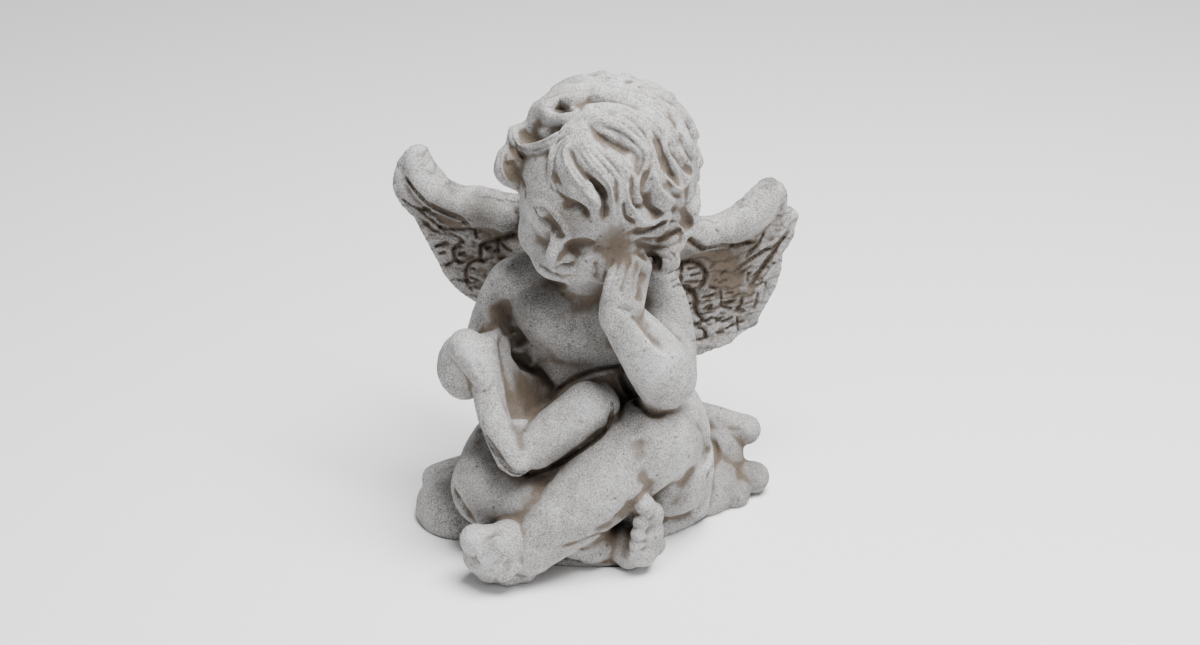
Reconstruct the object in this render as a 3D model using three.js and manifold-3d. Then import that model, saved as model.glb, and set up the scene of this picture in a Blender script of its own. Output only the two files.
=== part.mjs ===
// Seated putto with an open book, a garden figure cast in stone as one piece.
// Millimetres, +Z up, the figure looks along -Y, origin on the flat underside.
import * as THREE from "three";
import Module from "manifold-3d";
import { mergeVertices } from "three/addons/utils/BufferGeometryUtils.js";

const wasm = await Module();
wasm.setup();

// Driving sizes, in millimetres
const STATUE_HEIGHT = 225;
const BOOK_LENGTH = 61;
const BOOK_DEPTH = 38;
const BOOK_COVER = 18;
const FEATHER_ROW = 17;
const WING_THICKNESS = 9;
const CLOTH_FOLD = 7;

// The pose is drawn in 225ths of the height
const SHARE = STATUE_HEIGHT / 225;

// Directions in which the head, the face and the book look, in degrees
const HEAD_TURN = -32;
const HEAD_BOW = 11;
const HEAD_TILT = 11;
const FACE_TURN = -38;
const FACE_BOW = 16;
const FACE_TILT = 5;
const BOOK_TURN = 20;

const UP = new THREE.Vector3(0, 0, 1);
const BACK = new THREE.Vector3(0, 1, 0);

const at = (x, y, z) => new THREE.Vector3(x, y, z).multiplyScalar(SHARE);
const degrees = THREE.MathUtils.degToRad;
const mix = THREE.MathUtils.lerp;

// One closed three.js geometry becomes a solid that can be joined and cut
function solid(geometry) {
  const plain = geometry.clone();
  plain.deleteAttribute("normal");
  plain.deleteAttribute("uv");
  const merged = mergeVertices(plain, 1e-5);
  return new wasm.Manifold(new wasm.Mesh({
    numProp: 3,
    vertProperties: new Float32Array(merged.attributes.position.array),
    triVerts: new Uint32Array(merged.index.array),
  }));
}

// A ball with three radii, turned by a rotation matrix
function ball(centre, radii, turn = new THREE.Matrix4(), sides = 10, rings = 7) {
  const geometry = new THREE.SphereGeometry(1, sides, rings);
  geometry.rotateX(Math.PI / 2);
  geometry.scale(radii[0] * SHARE, radii[1] * SHARE, radii[2] * SHARE);
  geometry.applyMatrix4(turn);
  geometry.translate(centre.x, centre.y, centre.z);
  return solid(geometry);
}

// Value of an evenly spaced profile at a share of its length
function along(profile, share) {
  const place = THREE.MathUtils.clamp(share, 0, 1) * (profile.length - 1);
  const step = Math.min(Math.floor(place), profile.length - 2);
  const ease = THREE.MathUtils.smoothstep(place - step, 0, 1);
  return mix(profile[step], profile[step + 1], ease);
}

// A round-ended tube through points, with its own radius at each share of its length.
// It can be flattened along the direction called thin, down to the share called flat.
function limb(points, radii, { flat = 1, thin = BACK, sides = 8, rings = 6, cap = 0.22 } = {}) {
  const curve = new THREE.CatmullRomCurve3(points, false, "centripetal");
  const geometry = new THREE.SphereGeometry(1, sides, rings);
  const position = geometry.attributes.position;
  const uv = geometry.attributes.uv;
  for (let i = 0; i < position.count; i += 1) {
    const ring = 1 - uv.getY(i);
    const turn = uv.getX(i) * Math.PI * 2;
    let share = THREE.MathUtils.clamp((ring - cap) / (1 - 2 * cap), 0, 1);
    let reach = 1;
    let past = 0;
    if (ring < cap) {
      reach = Math.sin((ring / cap) * Math.PI / 2);
      past = -Math.cos((ring / cap) * Math.PI / 2);
    }
    if (ring > 1 - cap) {
      reach = Math.sin(((1 - ring) / cap) * Math.PI / 2);
      past = Math.cos(((1 - ring) / cap) * Math.PI / 2);
    }
    const radius = along(radii, share) * SHARE;
    const tangent = curve.getTangentAt(share);
    const thick = thin.clone().addScaledVector(tangent, -thin.dot(tangent)).normalize();
    const wide = tangent.clone().cross(thick);
    const point = curve.getPointAt(share)
      .addScaledVector(tangent, past * radius * Math.min(1, flat * 1.4))
      .addScaledVector(wide, Math.cos(turn) * reach * radius)
      .addScaledVector(thick, Math.sin(turn) * reach * radius * flat);
    position.setXYZ(i, point.x, point.y, point.z);
  }
  return solid(geometry);
}

function joined(pieces) {
  return pieces.reduce((sum, piece) => sum.add(piece));
}

// Head and face
const HEAD_CENTRE = at(-1, -15, 176.5);
const FACE_CENTRE = at(5, -16, 177);

function looking(turn, bow, tilt) {
  return new THREE.Matrix4()
    .makeRotationZ(degrees(turn))
    .multiply(new THREE.Matrix4().makeRotationX(degrees(bow)))
    .premultiply(new THREE.Matrix4().makeRotationY(degrees(tilt)));
}

const headTurn = looking(HEAD_TURN, HEAD_BOW, HEAD_TILT);
const faceTurn = looking(FACE_TURN, FACE_BOW, FACE_TILT);

// A point given from the head's centre: to its left, to its back, up
function inHead(side, back, up) {
  return at(side, back, up).applyMatrix4(headTurn).add(HEAD_CENTRE);
}

// The same for the face, which bows and turns a little more than the skull behind it
function inFace(side, back, up) {
  return at(side, back, up).applyMatrix4(faceTurn).add(FACE_CENTRE);
}

const HAIR_REACH = [37, 40, 41];

// A point on the outline of the hair at an azimuth from the face and an elevation, lifted off it
function onHair(azimuth, elevation, lift) {
  const a = degrees(azimuth);
  const e = degrees(elevation);
  return inHead(
    (HAIR_REACH[0] + lift) * Math.sin(a) * Math.cos(e),
    -(HAIR_REACH[1] + lift) * Math.cos(a) * Math.cos(e),
    (HAIR_REACH[2] + lift) * Math.sin(e),
  );
}

// Soft masses: temple, far cheek, mouth, chin, near cheek, cheek on the hand, jaw
const FACE_MASSES = [
  { place: at(-19, -14, 168), radius: 18 },
  { place: at(-23, -20, 158), radius: 14.5 },
  { place: at(-19, -29, 150.5), radius: 12.5 },
  { place: at(-10, -30, 146), radius: 10.5 },
  { place: at(-1, -36, 153.5), radius: 13 },
  { place: at(7.5, -34, 156.5), radius: 13 },
  { place: at(1, -22, 158), radius: 24 },
];

function face() {
  const pieces = [
    ball(inHead(0, 1, 3), [37, 37, 39], headTurn, 11, 8),
    limb([inFace(0, -35, 3), inFace(0, -38.5, -5), inFace(0, -43, -11.5)], [4.6, 4.4, 5.6], { sides: 6 }),
    limb([inFace(-8, -33.5, -22), inFace(0, -38.5, -20.5), inFace(8, -33.5, -22)], [1.6, 2.6, 1.6],
      { sides: 5, rings: 4, thin: UP, flat: 0.8 }),
    limb([inFace(-6, -33.5, -24), inFace(0, -37, -25.5), inFace(6, -33.5, -24)], [1.6, 2.8, 1.6],
      { sides: 5, rings: 4, thin: UP, flat: 0.9 }),
  ];
  for (const { place, radius } of FACE_MASSES) {
    pieces.push(ball(place, [radius, radius, radius], undefined, 8, 6));
  }
  return joined(pieces);
}

// Locks of hair run down from the crown: start and end azimuth, elevation of the tip, width
const FRINGE_LOCKS = [
  [-62, -52, 14, 8],
  [-36, -30, 46, 8],
  [-12, 0, 40, 9],
  [12, 20, 8, 8.5],
  [34, 40, 0, 8],
  [54, 60, -12, 9],
  [74, 80, -20, 9.5],
];
const SIDE_LOCKS = 7;
const CROWN_ELEVATION = 76;

function lock(fromAzimuth, toAzimuth, tip, width, curl, lift) {
  const steps = 5;
  const points = [];
  for (let i = 0; i <= steps; i += 1) {
    const share = i / steps;
    const azimuth = mix(fromAzimuth, toAzimuth, share) + curl * Math.sin(share * Math.PI * 1.6);
    const elevation = mix(CROWN_ELEVATION, tip, share ** 1.1);
    points.push(onHair(azimuth, elevation, lift + 2.5 * Math.sin(share * Math.PI * 0.8)));
  }
  const middle = points[3].clone().sub(HEAD_CENTRE).normalize();
  return limb(points, [width * 0.35, width, width, width * 0.85, width * 0.45],
    { flat: 0.6, thin: middle, sides: 5, rings: 5, cap: 0.2 });
}

function hair() {
  const pieces = [
    ball(inHead(0, 5, 10), [38, 39, 38.5], headTurn, 11, 7),
    ball(inHead(0, 18, -14), [30, 22, 24], headTurn),
  ];
  for (const [from, to, tip, width] of FRINGE_LOCKS) {
    pieces.push(lock(from, to, tip, width, 12, -0.5));
  }
  for (let i = 0; i < SIDE_LOCKS; i += 1) {
    const azimuth = 99 + i * 26;
    const sway = i % 2 === 0 ? 10 : -9;
    pieces.push(lock(azimuth, azimuth + sway, -34 - 5 * (i % 3), 9.5, sway, 3.5));
  }
  // Curls that stand off the temples
  pieces.push(limb([onHair(-62, 26, 3), onHair(-78, 22, 7), onHair(-88, 6, 8), onHair(-80, -10, 6),
    onHair(-66, -12, 3)], [4, 5.5, 6, 5, 3.5], { sides: 6, rings: 6, cap: 0.2 }));
  pieces.push(limb([onHair(-40, 58, 4), onHair(-52, 50, 8), onHair(-66, 42, 6)], [4, 5.5, 4.5],
    { sides: 6, rings: 5 }));
  pieces.push(limb([onHair(70, -4, 5), onHair(78, -18, 7), onHair(70, -30, 6), onHair(58, -30, 3)],
    [4.5, 6, 5, 3.5], { sides: 6, rings: 5 }));
  return joined(pieces);
}

// Trunk, neck and shoulders
const SHOULDER = { right: at(-39, 2, 118), left: at(21, 4, 121) };
const PELVIS = at(2, 12, 34);

function trunk() {
  return joined([
    limb([PELVIS, at(-7, 5, 70), at(-10, 3, 100), at(-8, 5, 126), at(0, -4, 150)],
      [44, 38, 36, 31, 18], { flat: 0.84, sides: 11, rings: 8 }),
    limb([SHOULDER.right, at(-9, 6, 122), SHOULDER.left], [15, 18, 15], { sides: 9 }),
  ]);
}

// Arms: the right one hangs and its hand clasps the book, the left one props the cheek
function arms() {
  const rightElbow = at(-52, 1, 80);
  const rightHand = at(-63, -27, 92);
  const leftElbow = at(30, -36, 90);
  const leftWrist = at(9, -50, 130);
  const pieces = [
    limb([SHOULDER.right, at(-49, 2, 100), rightElbow], [14.5, 14.5, 13]),
    limb([rightElbow, at(-58, -14, 84), rightHand], [13, 12.5, 11.5]),
    ball(rightHand, [12, 13, 15.5]),
    limb([SHOULDER.left, at(29, -12, 108), leftElbow], [14.5, 15.5, 14.5]),
    limb([leftElbow, at(22, -45, 108), leftWrist], [14.5, 14, 9.5]),
    limb([leftWrist, at(9, -50, 140), at(12, -48, 148)], [9, 11, 10.5], { flat: 0.75 }),
  ];
  const fingers = 4;
  for (let i = 0; i < fingers; i += 1) {
    const x = 2.5 + i * 5.2;
    pieces.push(limb([at(x, -53 + i, 146), at(x + 1.5, -52 + i, 155), at(x + 3, -48 + i, 162 - i)],
      [3.4, 3.3, 2.6], { sides: 5, rings: 5 }));
  }
  return joined(pieces);
}

// A foot with its toes in a row along the direction called across
function foot(heel, toeBase, across, width) {
  const forward = toeBase.clone().sub(heel).normalize();
  const side = across.clone().normalize();
  const sole = forward.clone().cross(side).normalize();
  const pieces = [limb([heel, toeBase], [width * 0.8, width], { flat: 0.62, thin: sole })];
  const toes = 5;
  for (let i = 0; i < toes; i += 1) {
    const share = i / (toes - 1) - 0.5;
    const radius = width * (i === 0 ? 0.33 : 0.27 - 0.015 * i);
    const root = toeBase.clone().addScaledVector(side, share * width * 1.55 * SHARE);
    const tip = root.clone().addScaledVector(forward, width * (0.95 - 0.11 * i) * SHARE);
    pieces.push(limb([root, tip], [radius, radius * 1.05], { sides: 5, rings: 3, cap: 0.34 }));
  }
  return joined(pieces);
}

// Legs: the left knee is raised and its shin crosses in front, the right one lies flat
function legs() {
  const rightKnee = at(-49, -36, 33);
  const rightAnkle = at(-4, -52, 13);
  const leftKnee = at(24, -36, 58);
  const leftAnkle = at(-33, -66, 17);
  return joined([
    limb([at(-22, 8, 42), at(-40, -16, 40), rightKnee], [27, 25, 21], { sides: 9 }),
    limb([rightKnee, at(-32, -48, 26), rightAnkle], [20, 18, 11]),
    foot(at(0, -52, 13), at(17, -50, 14), at(-6, -6, -22), 11.5),
    limb([at(26, 10, 42), at(30, -14, 44), leftKnee], [25, 25, 20.5], { sides: 9 }),
    limb([leftKnee, at(0, -50, 42), leftAnkle], [20.5, 20, 12.5], { sides: 9, rings: 8 }),
    foot(at(-32, -66, 15), at(-45, -72, 14), at(11, -14, -9), 13),
  ]);
}

// Open book: two thick halves that meet along the spine
function book() {
  const spine = at(-38, -56, 58);
  const across = BACK.clone().applyAxisAngle(UP, degrees(-BOOK_TURN));
  const halves = [at(-60, -28, 107), at(5, -43, 81.5)].map((edge) => {
    const run = edge.clone().sub(spine).normalize();
    const face = run.clone().cross(across).normalize();
    const depth = face.clone().cross(run).normalize();
    const frame = new THREE.Matrix4().makeBasis(run, depth, face);
    const half = BOOK_COVER / 2;
    const outline = new THREE.Shape();
    outline.moveTo(0, -half * 0.8);
    outline.lineTo(BOOK_LENGTH - half, -half);
    outline.absarc(BOOK_LENGTH - half, 0, half, -Math.PI / 2, Math.PI / 2, false);
    outline.lineTo(0, half * 0.8);
    outline.absarc(0, 0, half * 0.8, Math.PI / 2, Math.PI * 1.5, false);
    const geometry = new THREE.ExtrudeGeometry(outline, {
      depth: BOOK_DEPTH,
      bevelEnabled: false,
      curveSegments: 4,
    });
    geometry.rotateX(Math.PI / 2);
    geometry.translate(0, BOOK_DEPTH, 0);
    geometry.applyMatrix4(frame);
    geometry.translate(spine.x, spine.y, spine.z);
    return solid(geometry);
  });
  return joined(halves);
}

// Wings: a rolled leading edge from the shoulder blade to a raised knob, feathers below it
const WINGS = [
  {
    blade: at(-18, 14, 116), root: at(-28, 24, 139), bend: at(-65, 36, 144), knob: at(-86, 45, 164),
    tip: at(-91, 48, 147), corner: at(-72, 40, 112), low: at(-44, 30, 92),
    thin: new THREE.Vector3(-0.25, 1, -0.1),
  },
  {
    blade: at(8, 14, 112), root: at(31, 24, 127), bend: at(62, 34, 132), knob: at(79, 41, 149),
    tip: at(88, 46, 136), corner: at(74, 41, 86), low: at(44, 30, 70),
    thin: new THREE.Vector3(0.25, 1, -0.1),
  },
];
const FEATHER_ROWS = 3;
const LONG_FEATHERS = 5;

// The flat of a wing: a plate of even thickness with four straight edges
function wingPlate({ root, tip, corner, low }) {
  const run = tip.clone().sub(root).normalize();
  const normal = run.clone().cross(corner.clone().sub(root)).normalize();
  const down = normal.clone().cross(run);
  const outline = new THREE.Shape([root, tip, corner, low].map((point) => {
    const offset = point.clone().sub(root);
    return new THREE.Vector2(offset.dot(run), offset.dot(down));
  }));
  const geometry = new THREE.ExtrudeGeometry(outline, { depth: WING_THICKNESS, bevelEnabled: false });
  geometry.translate(0, 0, -WING_THICKNESS / 2);
  geometry.applyMatrix4(new THREE.Matrix4().makeBasis(run, down, normal));
  geometry.translate(root.x, root.y, root.z);
  return solid(geometry);
}

function wing(place) {
  const { blade, root, bend, knob, tip, corner, low, thin } = place;
  const out = thin.clone().normalize();
  const pieces = [
    wingPlate(place),
    limb([root, bend, knob], [8.5, 9, 8.6], { rings: 8, thin: out, flat: 0.9, cap: 0.18 }),
    limb([knob, tip], [8.6, 6], { thin: out, flat: 0.8, rings: 4 }),
    limb([blade, root.clone().lerp(low, 0.35)], [15, 13], { rings: 4 }),
    limb([blade, root], [14, 9], { rings: 4 }),
  ];
  // Long feathers end in a row of round tips along the slanted lower edge
  for (let i = 0; i < LONG_FEATHERS; i += 1) {
    const share = i / (LONG_FEATHERS - 1);
    const end = share < 0.5
      ? tip.clone().lerp(corner, 0.35 + share * 1.3)
      : corner.clone().lerp(low, share * 2 - 1);
    end.lerp(root, 0.06);
    const high = tip.clone().lerp(root, 0.15 + share * 0.7).lerp(end, 0.35);
    pieces.push(limb([high, end], [9, 8.5], { flat: 0.62, thin: out, sides: 5, rings: 3, cap: 0.34 }));
  }
  // Short scale feathers lie in staggered rows over them
  for (let row = 0; row < FEATHER_ROWS; row += 1) {
    const down = (row + 0.7) / FEATHER_ROWS;
    const from = tip.clone().lerp(corner, down * 0.85).lerp(root, 0.12);
    const to = root.clone().lerp(low, down * 0.9);
    const count = Math.max(2, Math.round(from.distanceTo(to) / FEATHER_ROW));
    for (let i = 0; i < count; i += 1) {
      const share = (i + 0.4 + 0.3 * (row % 2)) / count;
      const centre = from.clone().lerp(to, share).addScaledVector(out, -WING_THICKNESS * 0.42);
      const end = centre.clone().addScaledVector(UP, -FEATHER_ROW * 0.5).addScaledVector(out, -SHARE);
      pieces.push(limb([centre, end], [FEATHER_ROW * 0.52 / SHARE, FEATHER_ROW * 0.48 / SHARE],
        { flat: 0.34, thin: out, sides: 5, rings: 3, cap: 0.34 }));
    }
  }
  return joined(pieces);
}

// Cloth that the figure sits on: folds bunched to a low mound, with a forked end at its left
const FOLDS = [
  [[-48, 30, 12], [-66, 12, 12], [-76, -4, 11], [-70, -18, 8]],
  [[-40, 20, 16], [-66, 14, 14], [-80, 6, 12]],
  [[20, 34, 26], [42, 16, 30], [50, -2, 24], [45, -15, 11]],
  [[30, 38, 34], [50, 26, 36], [64, 20, 34], [72, 21, 31]],
  [[24, 36, 14], [52, 18, 12], [66, 14, 9], [74, 14, 8]],
  [[24, 10, 10], [50, 2, 8], [66, 4, 5]],
  [[20, -14, 10], [34, -18, 9], [46, -12, 7]],
];

function cloth() {
  const pieces = [
    ball(at(-2, 6, 4), [58, 44, 20], undefined, 12, 6),
    ball(at(-66, -7, 5), [24, 26, 16], undefined, 9, 6),
    ball(at(44, 12, 8), [26, 26, 20], undefined, 10, 6),
    ball(at(58, 18, 18), [13, 12, 18], undefined, 8, 6),
    ball(at(-6, -38, 2), [38, 18, 9], undefined, 9, 5),
  ];
  for (const fold of FOLDS) {
    pieces.push(limb(fold.map((place) => at(...place)), [CLOTH_FOLD / SHARE, 1.15 * CLOTH_FOLD / SHARE,
      0.85 * CLOTH_FOLD / SHARE], { sides: 5, rings: 4 }));
  }
  return joined(pieces);
}

// Everything is one casting, cut flat where it stands
function statue() {
  const whole = joined([trunk(), face(), hair(), arms(), legs(), book(), ...WINGS.map(wing), cloth()]);
  const ground = new THREE.BoxGeometry(STATUE_HEIGHT * 2, STATUE_HEIGHT * 2, STATUE_HEIGHT);
  ground.translate(0, 0, -STATUE_HEIGHT / 2);
  const mesh = whole.subtract(solid(ground)).getMesh();
  const geometry = new THREE.BufferGeometry();
  geometry.setAttribute("position", new THREE.BufferAttribute(mesh.vertProperties, 3));
  geometry.setIndex(new THREE.BufferAttribute(mesh.triVerts, 1));
  geometry.computeVertexNormals();
  return geometry;
}

const stone = new THREE.MeshStandardMaterial({
  color: 0xb9b6b0,
  roughness: 0.92,
  metalness: 0,
  flatShading: true,
});
const putto = new THREE.Mesh(statue(), stone);
putto.name = "putto";

const model = new THREE.Group();
model.add(putto);

export default model;
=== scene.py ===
import math
import random

import bpy
import numpy as np
from mathutils import Euler, Matrix, Vector, noise
from mathutils.bvhtree import BVHTree


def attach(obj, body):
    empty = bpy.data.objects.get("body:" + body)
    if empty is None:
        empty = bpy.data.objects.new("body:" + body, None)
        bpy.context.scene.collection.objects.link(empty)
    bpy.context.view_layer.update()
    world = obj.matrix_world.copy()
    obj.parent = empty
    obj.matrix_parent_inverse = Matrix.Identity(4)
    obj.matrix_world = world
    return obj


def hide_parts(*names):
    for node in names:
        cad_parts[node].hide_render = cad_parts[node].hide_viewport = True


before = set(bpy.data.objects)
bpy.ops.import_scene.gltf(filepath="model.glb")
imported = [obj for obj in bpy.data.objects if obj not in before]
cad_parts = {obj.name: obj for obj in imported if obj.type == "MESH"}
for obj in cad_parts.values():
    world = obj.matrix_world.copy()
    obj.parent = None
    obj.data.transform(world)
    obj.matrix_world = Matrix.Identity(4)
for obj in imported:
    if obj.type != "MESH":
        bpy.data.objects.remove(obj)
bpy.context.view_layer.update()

# Camera and floor
# The statue stands on a plain pale floor, matt as painted board. It is seen from the front
# and above, as a garden figure on a low wall is looked at.
MM = 0.001
LOOK_DOWN = math.radians(27)
CAMERA_DISTANCE = 1150 * MM
LOOK_AT = Vector((0, -5, 103.4)) * MM
PICTURE_WIDTH = 1200
PICTURE_HEIGHT = 645
FOCAL_PIXELS = 2450
SENSOR_WIDTH = 36
FLOOR_SIZE = 8
FLOOR_GAP = 0.2
FLOOR_COLOUR = (0.92, 0.92, 0.92, 1)
FLOOR_ROUGHNESS = 0.85

bpy.ops.object.select_all(action="DESELECT")
bpy.ops.object.camera_add(
    location=LOOK_AT + CAMERA_DISTANCE * Vector((0, -math.cos(LOOK_DOWN), math.sin(LOOK_DOWN))),
    rotation=(math.pi / 2 - LOOK_DOWN, 0, 0),
)
camera = bpy.context.object
camera.data.sensor_width = SENSOR_WIDTH
camera.data.lens = SENSOR_WIDTH * FOCAL_PIXELS / PICTURE_WIDTH
bpy.context.scene.camera = camera
bpy.context.view_layer.update()


def picture_ray(across, down):
    """Start and direction of the line of sight through a point of the 1200 by 645 picture."""
    turn = camera.matrix_world.to_3x3()
    ahead = turn @ Vector((
        (across - PICTURE_WIDTH / 2) / FOCAL_PIXELS,
        (PICTURE_HEIGHT / 2 - down) / FOCAL_PIXELS,
        -1,
    ))
    return camera.location.copy(), ahead.normalized()


def seen_at(across, down, front):
    """The point seen at a place in the picture, at a distance in millimetres in front of the middle."""
    start, ahead = picture_ray(across, down)
    return start + ahead * ((-front * MM - start.y) / ahead.y)


bpy.ops.mesh.primitive_plane_add(size=FLOOR_SIZE, location=(0, 0, -FLOOR_GAP * MM))
floor = bpy.context.object
floor.name = "floor"
floor_paint = bpy.data.materials.new("pale floor")
floor_paint.use_nodes = True
floor_shader = floor_paint.node_tree.nodes["Principled BSDF"]
floor_shader.inputs["Base Color"].default_value = FLOOR_COLOUR
floor_shader.inputs["Roughness"].default_value = FLOOR_ROUGHNESS
floor.data.materials.append(floor_paint)

# Light
# A large soft window above and a little to the right gives the shadows under the head and
# arms. Two weak lights and a pale sky all round fill them.
LAMPS = {
    "sky window": {"place": (0.26, -0.20, 1.18), "size": 0.7, "watts": 43},
    "side window": {"place": (1.1, -0.7, 0.55), "size": 0.8, "watts": 2.5},
    "fill card": {"place": (-1.0, -1.1, 0.35), "size": 1.4, "watts": 2},
}
LAMP_AIM = Vector((0, 0, 0.1))
SKY_COLOUR = (0.95, 0.97, 1.0, 1)
SKY_STRENGTH = 0.2
for name, lamp in LAMPS.items():
    bpy.ops.object.light_add(type="AREA", location=lamp["place"])
    light = bpy.context.object
    light.name = name
    light.data.size = lamp["size"]
    light.data.energy = lamp["watts"]
    aim = LAMP_AIM - light.location
    light.rotation_euler = aim.to_track_quat("-Z", "Y").to_euler()
sky = bpy.data.worlds.new("pale sky")
sky.use_nodes = True
sky.node_tree.nodes["Background"].inputs["Color"].default_value = SKY_COLOUR
sky.node_tree.nodes["Background"].inputs["Strength"].default_value = SKY_STRENGTH
bpy.context.scene.world = sky


# Trunk, arms and legs
# The soft body of the child, modelled as one lump of clay before the casting: thick limbs
# are pressed together, fused, and smoothed until the creases are round.
def mm(x, y, z):
    return Vector((x, y, z)) * MM


def ball(place, radii, turn=Euler((0, 0, 0))):
    bpy.ops.mesh.primitive_uv_sphere_add(segments=28, ring_count=18, radius=1, location=place, rotation=turn)
    lump = bpy.context.object
    lump.scale = [radius * MM for radius in radii]
    bpy.ops.object.transform_apply(location=True, rotation=True, scale=True)
    return lump


def limb(points, radii):
    """A round-ended tube through points in metres, with a radius in millimetres at each."""
    bpy.ops.curve.primitive_nurbs_path_add(location=(0, 0, 0))
    path = bpy.context.object
    path.data.splines.clear()
    spline = path.data.splines.new("NURBS")
    spline.points.add(len(points) - 1)
    for knot, point, radius in zip(spline.points, points, radii):
        knot.co = (*point, 1)
        knot.radius = radius
    spline.use_endpoint_u = True
    spline.order_u = min(3, len(points))
    path.data.resolution_u = 8
    path.data.bevel_depth = MM
    path.data.bevel_resolution = 4
    path.data.use_fill_caps = True
    bpy.ops.object.convert(target="MESH")
    tube = bpy.context.object
    ends = [tube]
    for end, radius in ((points[0], radii[0]), (points[-1], radii[-1])):
        ends.append(ball(end, (radius, radius, radius)))
    return ends


def fuse(pieces, name, voxel, rounds):
    """Joins pieces, fuses them into one skin and smooths the creases between them."""
    bpy.ops.object.select_all(action="DESELECT")
    for piece in pieces:
        piece.select_set(True)
    bpy.context.view_layer.objects.active = pieces[0]
    bpy.ops.object.join()
    whole = bpy.context.object
    whole.name = name
    remesh = whole.modifiers.new("clay", "REMESH")
    remesh.mode = "VOXEL"
    remesh.voxel_size = voxel * MM
    bpy.ops.object.modifier_apply(modifier="clay")
    if rounds:
        soften = whole.modifiers.new("soften", "SMOOTH")
        soften.factor = 0.5
        soften.iterations = rounds
        bpy.ops.object.modifier_apply(modifier="soften")
    return whole


SHOULDER_RIGHT = mm(-39, 2, 118)
SHOULDER_LEFT = mm(21, 4, 121)
ELBOW_RIGHT = mm(-52, 1, 80)
HAND_RIGHT = mm(-63, -27, 92)
ELBOW_LEFT = mm(30, -36, 91)
WRIST_LEFT = mm(9, -50, 130)
KNEE_RIGHT = mm(-49, -36, 33)
ANKLE_RIGHT = mm(-4, -52, 13)
KNEE_LEFT = mm(24, -36, 58)
ANKLE_LEFT = mm(-33, -66, 17)

BODY_MASSES = {
    "seat": (mm(2, 12, 38), (45, 37, 34)),
    "belly": (mm(-6, 4, 66), (37, 31, 27)),
    "pit of the stomach": (mm(-14, -4, 76), (27, 25, 22)),
    "chest": (mm(-10, 4, 100), (36, 28, 30)),
    "back": (mm(-8, 8, 84), (34, 26, 30)),
    "small of the back": (mm(-2, 12, 54), (40, 33, 27)),
    "right breast": (mm(-24, -8, 110), (18, 16, 16)),
    "left breast": (mm(4, -7, 110), (18, 16, 16)),
}
LAP_SEEN = [((515, 474), 40), ((550, 464), 38), ((592, 442), 34)]
THIGH_SEEN = ((669, 466), 18)
THIGH_RADII = (22, 22, 25)
BODY_LIMBS = {
    "shoulders": ([SHOULDER_RIGHT, mm(-9, 6, 123), SHOULDER_LEFT], [15, 18, 15]),
    "neck": ([mm(-8, 4, 120), mm(-4, -2, 135), mm(0, -8, 150)], [20, 17, 20]),
    "nape": ([mm(-3, 4, 150), mm(-7, 8, 128), mm(-9, 8, 106)], [20, 19, 26]),
    "right upper arm": ([SHOULDER_RIGHT, mm(-49, 2, 100), ELBOW_RIGHT], [15, 15.5, 13.5]),
    "right forearm": ([ELBOW_RIGHT, mm(-59, -14, 83), HAND_RIGHT], [13.5, 12.5, 11.5]),
    "left upper arm": ([SHOULDER_LEFT, mm(31, -12, 108), ELBOW_LEFT], [15, 16, 15]),
    "left forearm": ([ELBOW_LEFT, mm(23, -45, 108), WRIST_LEFT], [15, 15.5, 10]),
    "right thigh": ([mm(-22, 8, 42), mm(-40, -16, 41), KNEE_RIGHT], [27, 26, 21.5]),
    "right shin": ([KNEE_RIGHT, mm(-30, -49, 27), ANKLE_RIGHT], [20.5, 18.5, 11.5]),
    "left thigh": ([mm(26, 10, 42), mm(31, -14, 45), KNEE_LEFT], [25.5, 26, 21]),
    "left shin": ([KNEE_LEFT, mm(2, -51, 43), ANKLE_LEFT], [21, 22, 13]),
    "lap": ([seen_at(*spot, front) for spot, front in LAP_SEEN], [9, 10, 9]),
}

flesh = [ball(place, radii) for place, radii in BODY_MASSES.values()]
for points, radii in BODY_LIMBS.values():
    flesh += limb(points, radii)
flesh.append(ball(seen_at(*THIGH_SEEN[0], THIGH_SEEN[1]), THIGH_RADII))
body = fuse(flesh, "body", 1.6, 14)


# Head and face
# A round child's head bowed to the book and tilted on to the left hand: high forehead,
# full cheeks, small nose and lips, downcast lids. It is one lump with the neck.
HEAD_CENTRE = mm(-1, -15, 176.5)
HEAD_TURN = (
    Matrix.Rotation(math.radians(11), 3, "Y")
    @ Matrix.Rotation(math.radians(-32), 3, "Z")
    @ Matrix.Rotation(math.radians(11), 3, "X")
)
FACE_CENTRE = mm(5.2, -15.8, 177.1)
FACE_TURN = (
    Matrix.Rotation(math.radians(5.4), 3, "Y")
    @ Matrix.Rotation(math.radians(-37.8), 3, "Z")
    @ Matrix.Rotation(math.radians(15.9), 3, "X")
)
HEAD_EULER = HEAD_TURN.to_euler()
FACE_EULER = FACE_TURN.to_euler()


def in_head(side, back, up):
    return HEAD_CENTRE + HEAD_TURN @ (Vector((side, back, up)) * MM)


def in_face(side, back, up):
    return FACE_CENTRE + FACE_TURN @ (Vector((side, back, up)) * MM)


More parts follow.
